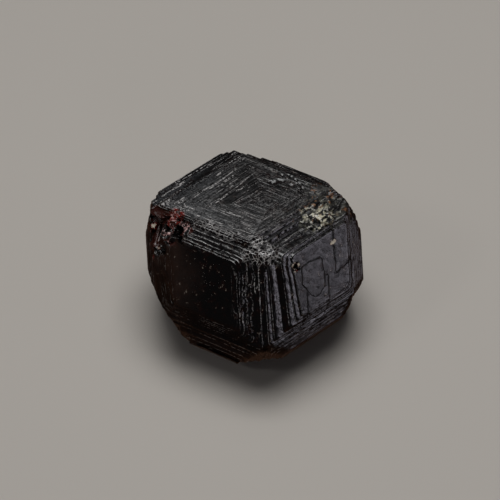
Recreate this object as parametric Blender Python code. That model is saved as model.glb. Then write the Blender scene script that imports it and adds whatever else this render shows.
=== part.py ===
"""Garnet crystal: one natural solid, a distorted rhombic dodecahedron covered in growth ledges.

The core is the body swept out by four growth directions, the body diagonals of a cube, each with
its own length. Its twelve faces are parallelograms. On every face lies a stack of growth layers,
each a little smaller than the one below, so the sides of the layers make ledges parallel to the
neighbouring faces. The left corner is broken off in rough facets, and a lump of mica rock still
clings to the right corner.

Frame: metres, +Z up, front towards -Y, origin on the ground under the middle of the crystal.
"""

import math

import bmesh
import bpy
from mathutils import Matrix, Vector, noise

MM = 0.001

# Lengths of the core along its four growth directions.
GROWTH_MM = {"A": 14.1, "B": 13.9, "C": 11.6, "D": 9.4}

# Unit growth directions: A to the back left, B to the back right, C down the front, D down the back.
THIRD = 1 / math.sqrt(3)
TWO_THIRDS = math.sqrt(2 / 3)
GROWTH = {
    "A": Vector((-TWO_THIRDS, THIRD, 0)),
    "B": Vector((TWO_THIRDS, THIRD, 0)),
    "C": Vector((0, -THIRD, -TWO_THIRDS)),
    "D": Vector((0, THIRD, -TWO_THIRDS)),
}

# Each face: the two directions that span it, and those that lead to it from the front top corner.
FACES = {
    "top": ("A", "B", ""),
    "bottom": ("A", "B", "CD"),
    "front_left": ("A", "C", ""),
    "front_right": ("B", "C", ""),
    "left": ("C", "D", "A"),
    "right": ("C", "D", "B"),
    "back_left": ("B", "D", "A"),
    "back_right": ("A", "D", "B"),
    "under_front_left": ("A", "D", "C"),
    "under_front_right": ("B", "D", "C"),
    "under_back_left": ("B", "C", "AD"),
    "under_back_right": ("A", "C", "BD"),
}

# Heights of the bold ledges at the rim of each face, from the core outwards.
LEDGES_MM = {
    "top": (0.30, 0.22, 0.15),
    "bottom": (0.30, 0.30, 0.30),
    "front_left": (0.10, 0.22, 0.16, 0.18, 0.14),
    "front_right": (0.525, 0.225, 0.69, 0.10, 0.26),
    "left": (0.18, 0.14, 0.18),
    "right": (0.30, 0.20, 0.30, 0.25, 0.30),
    "back_left": (0.85, 0.30, 0.25),
    "back_right": (0.25, 0.30, 0.20),
    "under_front_left": (0.35, 0.20, 0.40, 0.25, 0.30),
    "under_front_right": (0.25, 0.30, 0.20, 0.30, 0.25),
    "under_back_left": (0.25, 0.30, 0.15, 0.25),
    "under_back_right": (0.30, 0.25, 0.30, 0.20),
}

# Low steps further in: how many, and the height of each. The bottom has none: the crystal rests on it.
INNER_STEPS = {"top": (5, 0.05), "front_left": (3, 0.06), "front_right": (3, 0.06), "bottom": (0, 0.0)}
INNER_STEPS_ELSEWHERE = (2, 0.06)

# Width of the rim treads of a face on its side towards a neighbour: one for each ledge, or their total.
TREADS_MM = {
    ("top", "front_left"): (0.04, 0.05, 0.06),
    ("top", "front_right"): (0.30, 0.42, 0.38),
    ("top", "back_left"): 0.15,
    ("top", "back_right"): 0.20,
    ("front_left", "top"): (0.22, 0.30, 0.28, 0.25, 0.20),
    ("front_left", "front_right"): (0.05, 0.72, 0.40, 0.33, 0.25),
    ("front_left", "left"): 1.90,
    ("front_left", "under_front_left"): 0.80,
    ("front_right", "top"): 0.60,
    ("front_right", "front_left"): (0.02, 0.43, 1.05, 0.62, 0.53),
    ("front_right", "right"): 0.65,
    ("front_right", "under_front_right"): 0.90,
    ("left", "front_left"): 2.50,
    ("left", "under_front_left"): 2.40,
    ("right", "front_right"): 0.60,
    ("right", "back_right"): 2.40,
    ("right", "under_front_right"): 0.30,
    ("back_left", "top"): (0.05, 0.05, 0.05),
    ("back_left", "back_right"): (0.02, 0.60, 0.50),
    ("back_right", "top"): 0.60,
    ("back_right", "back_left"): (0.50, 1.50, 1.50),
    ("back_right", "right"): 1.60,
    ("under_front_left", "front_left"): 4.70,
    ("under_front_left", "left"): 4.20,
    ("under_front_right", "front_right"): 1.30,
    ("under_front_right", "right"): 0.30,
}
TREADS_ELSEWHERE_MM = 1.2

# The middle of the low steps of a face, as fractions of its two spans.
STEP_CENTRE = {"top": (0.32, 0.51), "front_right": (0.45, 0.55)}
STEP_CENTRE_ELSEWHERE = (0.5, 0.5)
INNER_SHARE = 0.75  # how far in, towards that middle, the last low step reaches

SIDE_MARKS = (0.08, 0.30, 0.50, 0.70, 0.92)  # where a layer's side bends, as fractions of its length
WANDER = 0.32  # how much a tread widens and narrows from mark to mark
WANDER_CYCLES = 5.1  # noise cells along one side
WANDER_LAYER_STEP = 3.3  # noise cells between one layer and the next
WANDER_SIDE_STEP = 11.9  # and between one side of a face and the next
WANDER_FACE_STEP = 23.7  # and between one face and the next
NOISE_GAIN = 2.2  # brings the noise, which rarely passes a half, up to about one
CORNER_ROUND_MM = 1.1  # radius of a layer's corners
ON_SIDE = 0.01  # an outline point this near a side, as a fraction, lies on it
NEIGHBOUR_COSINE = 0.5  # neighbouring faces of the dodecahedron have normals 60 degrees apart
NEAR = 0.01  # how near a cosine must come to that
FIRST_INSET_MM = 0.01  # a new ring starts this wide, before its corners are placed
CUT_TOLERANCE_MM = 0.0001  # points this near a cutting plane count as on it
RISER_LEAN = 0.01  # how much further in a low step's top reaches than its foot
SEED = 7.3

# The front top corner of the core: its place across the ground, and its height over the bottom face.
CORNER_X_MM = -0.34
CORNER_Y_MM = -7.34
CORE_HEIGHT_MM = (GROWTH_MM["C"] + GROWTH_MM["D"]) * TWO_THIRDS
FRONT_TOP_CORNER_MM = Vector((CORNER_X_MM, CORNER_Y_MM, CORE_HEIGHT_MM + sum(LEDGES_MM["bottom"])))

# Flat breaks: the corner of the core they take off, the azimuth and elevation they face, and how far
# outside that corner they pass.
BREAKS = (
    ("A", -80, 40, 0.35),
    ("A", -55, 15, 0.75),
    ("B", 104, 30, 0.55),
    ("B", 88, 52, 0.60),
    ("B", 120, 29, -0.65),
    ("AC", -72, -21, -0.60),
    ("AC", -50, -5, -0.45),
    ("AC", -80, -15, -0.50),
    ("BC", 62, -18, 0.20),
    ("C", 4, -9, -0.45),
    ("ABD", 172, -4, -0.70),
)

# Shell-shaped bites out of the rim beside the left corner: distance from that corner along the rim
# towards the front, distance out of it, height over the top of the core, and radius.
BITES_MM = (
    (0.2, 0.9, 0.7, 1.30),
    (1.8, 1.0, 0.8, 1.25),
    (3.4, 1.1, 0.3, 1.05),
    (1.0, 1.7, -1.6, 1.20),
)
BITE_ROUGHNESS = 0.12  # how far a bite departs from a ball, as a part of its radius
BITE_CYCLES = 1.7  # noise cells per radius

# The lump of mica rock near the right corner: its middle as an offset from the core's corner, its half
# lengths along the rim, across it and up, and the height of its bumps.
MICA_OFFSET_MM = Vector((-3.0, -2.2, -0.35))
MICA_HALF_MM = (3.3, 1.7, 0.95)
MICA_BUMP_MM = 0.4
MICA_BUMP_SIZE_MM = 1.1


def clear_scene():
    for thing in list(bpy.data.objects):
        bpy.data.objects.remove(thing, do_unlink=True)


def stone_material(name, colour, roughness):
    material = bpy.data.materials.new(name)
    material.use_nodes = True
    shader = material.node_tree.nodes["Principled BSDF"]
    shader.inputs["Base Color"].default_value = (*colour, 1)
    shader.inputs["Roughness"].default_value = roughness
    shader.inputs["Metallic"].default_value = 0
    return material


def core_corner(names):
    """The core corner reached from the front top corner along the named directions, in millimetres."""
    corner = FRONT_TOP_CORNER_MM.copy()
    for name in names:
        corner += GROWTH[name] * GROWTH_MM[name]
    return corner


def face_normal(face):
    """The outward normal: away from the directions in which the core lies beyond the face."""
    first, second, beyond = FACES[face]
    inward = Vector()
    for name, direction in GROWTH.items():
        if name not in (first, second):
            inward += -direction if name in beyond else direction
    normal = GROWTH[first].cross(GROWTH[second]).normalized()
    return -normal if normal.dot(inward) > 0 else normal


def side_neighbours(face):
    """The faces across the sides u = 0, u = end, v = 0 and v = end, which stand 60 degrees apart."""
    first, second, _ = FACES[face]
    normal = face_normal(face)
    cosines = {other: normal.dot(face_normal(other)) for other in FACES}
    around = [other for other, cosine in cosines.items() if abs(cosine - NEIGHBOUR_COSINE) < NEAR]
    ways = (-GROWTH[first], GROWTH[first], -GROWTH[second], GROWTH[second])
    return [max(around, key=lambda other: face_normal(other).dot(way)) for way in ways]


class GrowthFace:
    """One core face with the millimetre measures (u, v) along the two directions that span it."""

    def __init__(self, name):
        first, second, beyond = FACES[name]
        self.name = name
        self.corner = core_corner(beyond)
        self.along = (GROWTH[first], GROWTH[second])
        self.span = (GROWTH_MM[first], GROWTH_MM[second])
        self.skew = self.along[0].cross(self.along[1]).length  # sine of the angle between them
        self.normal = face_normal(name)
        self.neighbours = side_neighbours(name)

    def measure(self, point_mm):
        """The (u, v) fractions of a point of the core face."""
        offset = point_mm - self.corner
        first, second = self.along
        overlap = first.dot(second)
        along_first, along_second = offset.dot(first), offset.dot(second)
        u = (along_first - overlap * along_second) / self.skew**2
        v = (along_second - overlap * along_first) / self.skew**2
        return u / self.span[0], v / self.span[1]

    def place(self, u, v, height):
        """The point at (u, v) millimetres along the spans and that height above the core face."""
        return self.corner + self.along[0] * u + self.along[1] * v + self.normal * height

    def treads(self):
        """For each ledge, the width of its tread on each of the four sides."""
        count = len(LEDGES_MM[self.name])
        columns = []
        for other in self.neighbours:
            widths = TREADS_MM.get((self.name, other), TREADS_ELSEWHERE_MM)
            columns.append(widths if isinstance(widths, tuple) else [widths / count] * count)
        return list(zip(*columns))


def wander(mark, layer, side, face_number):
    """A smooth random factor around 1 for the width of one tread at one mark; 1 at the corners."""
    if mark < ON_SIDE or mark > 1 - ON_SIDE:
        return 1.0
    across = layer * WANDER_LAYER_STEP + side * WANDER_SIDE_STEP
    spot = Vector((mark * WANDER_CYCLES, across, face_number * WANDER_FACE_STEP + SEED))
    return 1 + WANDER * max(-1.0, min(1.0, NOISE_GAIN * noise.noise(spot)))


class LayerOutline:
    """The outline of the growing stack: one entry of four side distances for each outline point."""

    def __init__(self, face, fractions):
        self.face = face
        self.fractions = fractions
        self.insets = [[0.0] * 4 for _ in fractions]
        self.height = 0.0

    def side_marks(self, fraction):
        """For a point of the outline: which sides it lies on, and how far along them."""
        a, b = fraction
        on = (a < ON_SIDE, a > 1 - ON_SIDE, b < ON_SIDE, b > 1 - ON_SIDE)
        return on, (b, b, a, a)

    def step_in(self, widths, layer, number, rough):
        """Moves every side in by its width, which wanders along the side where rough is set."""
        for inset, fraction in zip(self.insets, self.fractions):
            on, marks = self.side_marks(fraction)
            for side in range(4):
                factor = wander(marks[side], layer, side, number) if rough and on[side] else 1.0
                inset[side] += widths[side] * factor / self.face.skew

    def points(self, share, centre, rounding):
        """The outline's points in millimetres, drawn in towards the centre by the given share."""
        placed = []
        for inset, fraction in zip(self.insets, self.fractions):
            on, _ = self.side_marks(fraction)
            corner = rounding * (1 - math.sqrt(0.5)) if sum(on) == 2 else 0.0
            low_u, high_u = inset[0], self.face.span[0] - inset[1]
            low_v, high_v = inset[2], self.face.span[1] - inset[3]
            u = low_u + fraction[0] * (high_u - low_u) + corner * (on[0] - on[1])
            v = low_v + fraction[1] * (high_v - low_v) + corner * (on[2] - on[3])
            u += (centre[0] * self.face.span[0] - u) * share
            v += (centre[1] * self.face.span[1] - v) * share
            placed.append(self.face.place(u, v, self.height))
        return placed


def core_mesh():
    """The core as twelve parallelograms whose edges are split at the side marks."""
    bm = bmesh.new()
    corners = {}
    for first, second, beyond in FACES.values():
        loop = []
        for names in (beyond, beyond + first, beyond + first + second, beyond + second):
            key = "".join(sorted(names))
            if key not in corners:
                corners[key] = bm.verts.new(core_corner(key) * MM)
            loop.append(corners[key])
        bm.faces.new(loop)
    bmesh.ops.recalc_face_normals(bm, faces=bm.faces[:])
    for edge in bm.edges[:]:
        split_at_marks(edge)
    return bm


def split_at_marks(edge):
    """Splits one edge so that its pieces lie between the side marks."""
    start, end = edge.verts
    done = 0.0
    for mark in SIDE_MARKS:
        rest = next(piece for piece in start.link_edges if end in piece.verts)
        _, start = bmesh.utils.edge_split(rest, start, (mark - done) / (1 - done))
        done = mark


def add_ring(bm, bm_face, points_mm):
    """Insets the face and moves its corners to the given points, which leaves a ring of new faces."""
    first_width = FIRST_INSET_MM * MM
    bmesh.ops.inset_individual(bm, faces=[bm_face], thickness=first_width, use_even_offset=False)
    for vert, point in zip(bm_face.verts, points_mm):
        vert.co = point * MM


def grow_layers(bm, bm_face, face, number):
    """Grows the rim ledges and the low inner steps on one face."""
    outline = LayerOutline(face, [face.measure(vert.co / MM) for vert in bm_face.verts])
    centre = STEP_CENTRE.get(face.name, STEP_CENTRE_ELSEWHERE)
    rises = LEDGES_MM[face.name]
    for layer, (rise, treads) in enumerate(zip(rises, face.treads())):
        outline.step_in(treads, layer, number, rough=True)
        add_ring(bm, bm_face, outline.points(0, centre, CORNER_ROUND_MM))
        outline.step_in([rise * THIRD] * 4, layer, number, rough=False)
        outline.height += rise
        add_ring(bm, bm_face, outline.points(0, centre, CORNER_ROUND_MM))
    steps, step_rise = INNER_STEPS.get(face.name, INNER_STEPS_ELSEWHERE)
    for step in range(steps):
        share = INNER_SHARE * (step + 1) / steps
        add_ring(bm, bm_face, outline.points(share, centre, CORNER_ROUND_MM))
        outline.height += step_rise
        add_ring(bm, bm_face, outline.points(share + RISER_LEAN, centre, CORNER_ROUND_MM))


def facing(azimuth, elevation):
    """The unit vector towards an azimuth, counted from the front towards +X, and an elevation."""
    turn, lift = math.radians(azimuth), math.radians(elevation)
    return Vector((math.sin(turn) * math.cos(lift), -math.cos(turn) * math.cos(lift), math.sin(lift)))


def break_corner(bm, corner, azimuth, elevation, outside_mm):
    """Takes everything off beyond a plane near a corner and closes the cut."""
    normal = facing(azimuth, elevation)
    point = (core_corner(corner) + normal * outside_mm) * MM
    everything = bm.verts[:] + bm.edges[:] + bm.faces[:]
    near = CUT_TOLERANCE_MM * MM
    cut = bmesh.ops.bisect_plane(
        bm, geom=everything, dist=near, plane_co=point, plane_no=normal, clear_outer=True
    )
    rim = [item for item in cut["geom_cut"] if isinstance(item, bmesh.types.BMEdge)]
    bmesh.ops.edgeloop_fill(bm, edges=rim)


def crystal_object():
    """The crystal with its growth layers and its flat breaks."""
    bm = core_mesh()
    bm.faces.ensure_lookup_table()
    core_faces = bm.faces[:]
    for number, (name, bm_face) in enumerate(zip(FACES, core_faces)):
        grow_layers(bm, bm_face, GrowthFace(name), number)
    for corner, azimuth, elevation, outside in BREAKS:
        break_corner(bm, corner, azimuth, elevation, outside)
    bmesh.ops.recalc_face_normals(bm, faces=bm.faces[:])
    return mesh_object("garnet_crystal", bm)


def mesh_object(name, bm):
    mesh = bpy.data.meshes.new(name)
    bm.to_mesh(mesh)
    bm.free()
    thing = bpy.data.objects.new(name, mesh)
    bpy.context.scene.collection.objects.link(thing)
    return thing


def helper(thing):
    """Marks a shape that only cuts or joins, and isn't a piece itself."""
    thing.hide_render = True
    thing.display_type = "WIRE"
    return thing


def bite_object(number, along, out, up, radius):
    """One ball that bites into the rim between the top and the front left face."""
    bm = bmesh.new()
    bmesh.ops.create_icosphere(bm, subdivisions=2, radius=radius * MM)
    for vert in bm.verts:
        spot = vert.co / (radius * MM) * BITE_CYCLES
        vert.co += noise.noise_vector(spot) * BITE_ROUGHNESS * radius * MM
    outward = Vector((-GROWTH["A"].y, GROWTH["A"].x, 0))
    middle = core_corner("A") - GROWTH["A"] * along + outward * out + Vector((0, 0, up))
    bmesh.ops.translate(bm, verts=bm.verts, vec=middle * MM)
    return helper(mesh_object(f"bite_{number}", bm))


def mica_object():
    """The lump of mica rock: a flattened ball with bumps, lying along the right rim of the top."""
    bm = bmesh.new()
    bmesh.ops.create_icosphere(bm, subdivisions=4, radius=1)
    along = GROWTH["B"]
    across = Vector((-along.y, along.x, 0))
    lean = Matrix((along, across, Vector((0, 0, 1)))).transposed()
    for vert in bm.verts:
        local = Vector([half * part for half, part in zip(MICA_HALF_MM, vert.co)])
        bump = noise.noise(local / MICA_BUMP_SIZE_MM) * MICA_BUMP_MM
        local += vert.co.normalized() * bump
        vert.co = (core_corner("B") + MICA_OFFSET_MM + lean @ local) * MM
    return helper(mesh_object("mica_lump", bm))


def add_boolean(thing, other, operation):
    modifier = thing.modifiers.new(other.name, "BOOLEAN")
    modifier.object = other
    modifier.operation = operation
    modifier.solver = "EXACT"


def main():
    clear_scene()
    crystal = crystal_object()
    crystal.data.materials.append(stone_material("garnet", (0.020, 0.010, 0.010), 0.22))
    for number, (along, out, up, radius) in enumerate(BITES_MM, start=1):
        add_boolean(crystal, bite_object(number, along, out, up, radius), "DIFFERENCE")
    mica = mica_object()
    mica.data.materials.append(stone_material("mica_rock", (0.22, 0.20, 0.13), 0.6))
    add_boolean(crystal, mica, "UNION")


main()
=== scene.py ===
"""The looks of a garnet crystal: its fine growth steps, broken corner, mica rock and finishes.

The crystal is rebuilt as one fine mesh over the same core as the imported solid: the body swept out by
four growth directions. Each of its twelve faces carries closed rings, one inside the other, whose
insets from the core's edges and heights above the face make ledges, risers and fine striations. The
mesh is then broken, chipped and roughened where the real crystal is.

Lengths are millimetres in the shape code, and metres in the meshes, the finishes and the studio
unless a comment says otherwise. +Z is up and the front is -Y.
"""

import logging
import math
from dataclasses import dataclass, field
from enum import Enum
from functools import reduce

import bmesh
import bpy
import numpy as np
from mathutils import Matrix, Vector


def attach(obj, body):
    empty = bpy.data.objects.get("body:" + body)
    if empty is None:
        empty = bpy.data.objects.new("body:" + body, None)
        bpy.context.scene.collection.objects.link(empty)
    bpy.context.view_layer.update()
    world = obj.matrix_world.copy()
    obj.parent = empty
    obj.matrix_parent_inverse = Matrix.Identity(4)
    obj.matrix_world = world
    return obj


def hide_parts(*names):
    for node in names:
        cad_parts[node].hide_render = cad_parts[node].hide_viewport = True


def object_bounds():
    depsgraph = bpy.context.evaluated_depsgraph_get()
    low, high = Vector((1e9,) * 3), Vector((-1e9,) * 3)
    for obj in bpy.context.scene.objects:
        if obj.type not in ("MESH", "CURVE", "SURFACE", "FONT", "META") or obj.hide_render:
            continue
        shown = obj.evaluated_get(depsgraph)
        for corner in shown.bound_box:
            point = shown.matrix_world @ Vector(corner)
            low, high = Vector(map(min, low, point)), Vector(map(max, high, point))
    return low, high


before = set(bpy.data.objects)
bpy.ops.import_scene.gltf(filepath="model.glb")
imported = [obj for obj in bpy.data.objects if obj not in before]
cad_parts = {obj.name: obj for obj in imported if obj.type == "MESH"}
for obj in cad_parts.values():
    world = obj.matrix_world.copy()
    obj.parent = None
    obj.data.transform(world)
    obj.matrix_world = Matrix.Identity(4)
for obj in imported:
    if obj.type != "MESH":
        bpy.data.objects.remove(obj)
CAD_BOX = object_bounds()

Array = np.ndarray
Mesh = bpy.types.Mesh
Material = bpy.types.Material
Tree = bpy.types.NodeTree
LOG = logging.getLogger("garnet")
MM = 0.001
SEED = 41

# ---- The core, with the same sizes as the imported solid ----

THIRD = 1 / math.sqrt(3)
TWO_THIRDS = math.sqrt(2 / 3)
GROWTH_MM = {"A": 14.1, "B": 13.9, "C": 11.6, "D": 9.4}
GROWTH = {
    "A": np.array([-TWO_THIRDS, THIRD, 0.0]),
    "B": np.array([TWO_THIRDS, THIRD, 0.0]),
    "C": np.array([0.0, -THIRD, -TWO_THIRDS]),
    "D": np.array([0.0, THIRD, -TWO_THIRDS]),
}
CORE_HEIGHT_MM = (GROWTH_MM["C"] + GROWTH_MM["D"]) * TWO_THIRDS
BOTTOM_STACK_MM = 0.90
FRONT_TOP_CORNER = np.array([-0.34, -7.34, CORE_HEIGHT_MM + BOTTOM_STACK_MM])
RISER_LEAN = THIRD  # how far a riser runs inwards for each millimetre that it climbs


class Face(Enum):
    """The twelve faces: the two directions that span each, and those that lead to it."""

    TOP = ("A", "B", "")
    BOTTOM = ("A", "B", "CD")
    FRONT_LEFT = ("A", "C", "")
    FRONT_RIGHT = ("B", "C", "")
    LEFT = ("C", "D", "A")
    RIGHT = ("C", "D", "B")
    BACK_LEFT = ("B", "D", "A")
    BACK_RIGHT = ("A", "D", "B")
    UNDER_FRONT_LEFT = ("A", "D", "C")
    UNDER_FRONT_RIGHT = ("B", "D", "C")
    UNDER_BACK_LEFT = ("B", "C", "AD")
    UNDER_BACK_RIGHT = ("A", "C", "BD")


def core_corner(names: str) -> Array:
    """The core's corner, in millimetres, where the named directions lead from its front top corner."""
    return FRONT_TOP_CORNER + sum((GROWTH[name] * GROWTH_MM[name] for name in names), np.zeros(3))


def face_normal(face: Face) -> Array:
    """The outward unit normal of a face, away from the directions in which the core lies.

    Args:
        face: the face.

    Returns:
        The normal.
    """
    first, second, beyond = face.value
    others = [name for name in GROWTH if name not in (first, second)]
    inward = sum(GROWTH[name] * (-1 if name in beyond else 1) for name in others)
    normal = np.cross(GROWTH[first], GROWTH[second])
    normal = normal / np.linalg.norm(normal)
    return -normal if normal @ inward > 0 else normal


def side_neighbours(face: Face) -> list[Face]:
    """The faces across the four sides, in the order in which a ring runs round the face.

    Args:
        face: the face.

    Returns:
        The neighbours across v = 0, u = end, v = end and u = 0.
    """
    first, second, _ = face.value
    normal = face_normal(face)
    around = [other for other in Face if abs(normal @ face_normal(other) - 0.5) < 0.01]
    ways = (-GROWTH[second], GROWTH[first], GROWTH[second], -GROWTH[first])
    return [max(around, key=lambda other: face_normal(other) @ way) for way in ways]


# ---- Ledges of each face ----


@dataclass(frozen=True)
class Ledges:
    """The bold ledges at the rim of one face, from the core's edge inwards."""

    heights: tuple[float, ...]  # the height of each ledge
    # For a neighbour, the width of each tread on the side towards it, or their total.
    treads: dict[Face, tuple[float, ...] | float] = field(default_factory=dict)
    elsewhere: float = 1.2  # the total tread on the sides that treads doesn't name
    # The radius of a ledge at each corner, from the corner u = 0, v = 0 round the face.
    rounding: tuple[float, float, float, float] = (1.3, 0.9, 0.7, 0.9)
    # For a neighbour, how much wider the treads towards it are at their far end than halfway.
    fans: dict[Face, float] = field(default_factory=dict)
    # For a neighbour, how much of the wander the far half of that side loses.
    calm: dict[Face, float] = field(default_factory=dict)


@dataclass(frozen=True)
class Interior:
    """The striated middle of one face."""

    grooves: int  # how many fine grooves run round it
    depth: float  # the usual depth of a groove, as a share of its distance from the next one
    rise: float  # how much higher the middle is than the rim's last ledge
    centre: tuple[float, float] = (0.5, 0.5)  # the middle, as fractions of the two spans
    reach: float = 0.93  # how far in towards the middle the last groove lies, as a share


def spread(total: float, count: int, random: np.random.Generator, unevenness: float) -> Array:
    """Parts of a total: equal for an unevenness of 0, from nothing to twice the mean for 1."""
    parts = 1 + unevenness * random.uniform(-1, 1, count)
    return total * parts / parts.sum()


LEDGES = {
    Face.TOP: Ledges(
        (0.30, 0.22, 0.15),
        {
            Face.FRONT_LEFT: (0.04, 0.05, 0.06),
            Face.FRONT_RIGHT: (0.30, 0.42, 0.38),
            Face.BACK_LEFT: 0.15,
            Face.BACK_RIGHT: 0.20,
        },
        rounding=(0.6, 0.4, 0.12, 0.4),
    ),
    Face.BOTTOM: Ledges((0.30, 0.30, 0.30)),
    Face.FRONT_LEFT: Ledges(
        (0.10, 0.22, 0.16, 0.18, 0.14),
        {
            Face.TOP: (0.22, 0.30, 0.28, 0.25, 0.20),
            Face.FRONT_RIGHT: (0.05, 0.72, 0.40, 0.33, 0.25),
            Face.LEFT: 1.90,
            Face.UNDER_FRONT_LEFT: 0.80,
        },
        fans={Face.FRONT_RIGHT: 0.08},
    ),
    Face.FRONT_RIGHT: Ledges(
        (0.525, 0.225, 0.69, 0.10, 0.26),
        {
            Face.TOP: 0.60,
            Face.FRONT_LEFT: (0.02, 0.43, 1.05, 0.62, 0.53),
            Face.RIGHT: 0.65,
            Face.UNDER_FRONT_RIGHT: 0.90,
        },
        rounding=(0.7, 0.6, 0.7, 0.5),
        fans={Face.FRONT_LEFT: 0.14},
        calm={Face.FRONT_LEFT: 0.92, Face.TOP: 0.6},
    ),
    Face.LEFT: Ledges((0.18, 0.14, 0.18), {Face.FRONT_LEFT: 2.50, Face.UNDER_FRONT_LEFT: 2.40}),
    Face.RIGHT: Ledges(
        (0.30, 0.20, 0.30, 0.25, 0.30),
        {Face.FRONT_RIGHT: 0.60, Face.BACK_RIGHT: 2.40, Face.UNDER_FRONT_RIGHT: 0.30},
    ),
    Face.BACK_LEFT: Ledges(
        (0.85, 0.30, 0.25),
        {Face.TOP: (0.05, 0.05, 0.05), Face.BACK_RIGHT: (0.02, 0.60, 0.50)},
        rounding=(0.5, 0.2, 0.7, 0.9),
    ),
    Face.BACK_RIGHT: Ledges(
        (0.25, 0.30, 0.20),
        {Face.TOP: 0.60, Face.RIGHT: 1.60, Face.BACK_LEFT: (0.50, 1.50, 1.50)},
        rounding=(0.5, 0.2, 0.7, 0.9),
    ),
    Face.UNDER_FRONT_LEFT: Ledges(
        (0.35, 0.20, 0.40, 0.25, 0.30), {Face.FRONT_LEFT: 4.70, Face.LEFT: 4.20}
    ),
    Face.UNDER_FRONT_RIGHT: Ledges(
        (0.25, 0.30, 0.20, 0.30, 0.25), {Face.FRONT_RIGHT: 1.30, Face.RIGHT: 0.30}
    ),
    Face.UNDER_BACK_LEFT: Ledges((0.25, 0.30, 0.15, 0.25)),
    Face.UNDER_BACK_RIGHT: Ledges((0.30, 0.25, 0.30, 0.20)),
}

INTERIORS = {
    Face.TOP: Interior(grooves=30, depth=0.11, rise=0.25, centre=(0.32, 0.51)),
    Face.FRONT_LEFT: Interior(grooves=10, depth=0.0, rise=0.0),
    Face.FRONT_RIGHT: Interior(grooves=28, depth=0.0, rise=0.0, centre=(0.45, 0.55)),
    Face.BOTTOM: Interior(grooves=1, depth=0.0, rise=0.0),
}
INTERIOR_ELSEWHERE = Interior(grooves=6, depth=0.06, rise=0.12)


@dataclass(frozen=True)
class Terrace:
    """A very thin growth layer on a flat face, inside an outline with rounded corners."""

    corners: tuple[tuple[float, float], ...]  # as distances along the face's two directions
    rounding: float  # the radius of the corners


TERRACES = {
    Face.FRONT_RIGHT: (
        Terrace(((5.4, 4.4), (6.9, 4.2), (7.6, 4.5), (7.9, 7.4), (7.0, 7.8), (5.9, 6.8), (5.3, 5.8)), 0.4),
        Terrace(((5.7, 6.6), (8.6, 6.6), (8.7, 9.0), (9.6, 13.0), (5.7, 13.0)), 0.12),
        Terrace(((9.9, 1.0), (14.0, 1.0), (14.0, 6.0), (10.1, 6.8), (9.9, 5.2)), 0.10),
    ),
}
FAR_FROM_TERRACES = 9.0
TERRACE_HIGH_MM = 0.03
TERRACE_RAMP_MM = 0.14  # how wide the slope at a terrace's edge is
FLAT_OUT_MM = 1.85  # how far the front right face's flat lies out of the core
RING_PIT_MM = (4.08, 3.39)  # its place along the front right face's two directions
PALE_CHIPS_MM = ((9.45, 3.36, 0.20), (9.70, 3.30, 0.26), (10.0, 3.22, 0.22))  # place and reach

# The mica rock's bed: its middle, the unit vectors along the rim, across it and up, and its half
# lengths along them.
MICA_MIDDLE = core_corner("B") + [-3.5, -2.6, -0.30]
MICA_FRAME = np.array([GROWTH["B"], [-GROWTH["B"][1], GROWTH["B"][0], 0.0], [0.0, 0.0, 1.0]])
MICA_HALF_MM = np.array([3.1, 1.6, 0.95])
MICA_BRIGHT_MIDDLE = core_corner("B") + [-4.2, -3.1, 0.4]  # where the mica is palest
RUSTY_MIDDLE = core_corner("B") + [-3.5, -0.1, 0.55]  # the dark crumbs behind the mica
PITTED_MIDDLE = core_corner("B") + [-6.0, 1.8, 0.72]  # the pitted part of the top


# ---- Noise ----


def smooth(values: Array) -> Array:
    """The smooth step of values clipped to 0..1, that is 3 x squared less 2 x cubed."""
    values = np.clip(values, 0.0, 1.0)
    return values * values * (3.0 - 2.0 * values)


def cell_values(cells: Array, seed: int) -> Array:
    """A fixed random number for each cell of a grid.

    The three whole numbers of a cell are multiplied by large odd numbers and mixed by shifts.

    Args:
        cells: whole numbers, with x, y and z on the last axis.
        seed: a whole number that picks the set.

    Returns:
        Numbers from 0 to 1, one for each cell.
    """
    parts = cells.astype(np.int64).astype(np.uint64)
    mixed = parts[..., 0] * np.uint64(0x9E3779B97F4A7C15)
    mixed ^= parts[..., 1] * np.uint64(0xC2B2AE3D27D4EB4F)
    mixed ^= parts[..., 2] * np.uint64(0x165667B19E3779F9)
    mixed += np.uint64(seed * 0x27D4EB2F165667C5 % 2**64)
    mixed ^= mixed >> np.uint64(29)
    mixed *= np.uint64(0xBF58476D1CE4E5B9)
    mixed ^= mixed >> np.uint64(32)
    return (mixed >> np.uint64(11)).astype(np.float64) / float(1 << 53)


def solid_noise(points: Array, size: float, seed: int, sharpness: float = 1.0) -> Array:
    """Smooth random values through space: the numbers of the eight cells around, blended.

    Args:
        points: places in millimetres.
        size: the width of a cell.
        seed: picks the pattern.
        sharpness: 1 for soft changes; more makes plateaus with short slopes between them.

    Returns:
        Values from -1 to 1.
    """
    scaled = points / size
    low = np.floor(scaled)
    share = smooth((scaled - low - 0.5) * sharpness + 0.5)
    total = np.zeros(points.shape[:-1])
    for corner in np.ndindex(2, 2, 2):
        weight = np.prod(np.where(np.array(corner) == 1, share, 1 - share), axis=-1)
        total += weight * cell_values(low + np.array(corner), seed)
    return 2 * total - 1


def loop_noise(
    places: Array, rows: int, cells: int, random: np.random.Generator, sharpness: float
) -> Array:
    """Smooth random values round closed loops, one loop to a row.

    Args:
        places: where the points lie round the loop, from 0 to 4, one unit to a side.
        rows: how many loops.
        cells: how many random values a loop has.
        random: their source.
        sharpness: 1 for soft changes; more makes level stretches with short jogs between them.

    Returns:
        An array of rows by places, with values from -1 to 1.
    """
    values = random.uniform(-1, 1, (rows, cells))
    scaled = places / 4 * cells
    low = np.floor(scaled).astype(int)
    share = smooth((scaled - low - 0.5) * sharpness + 0.5)
    return values[:, low % cells] * (1 - share) + values[:, (low + 1) % cells] * share


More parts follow.
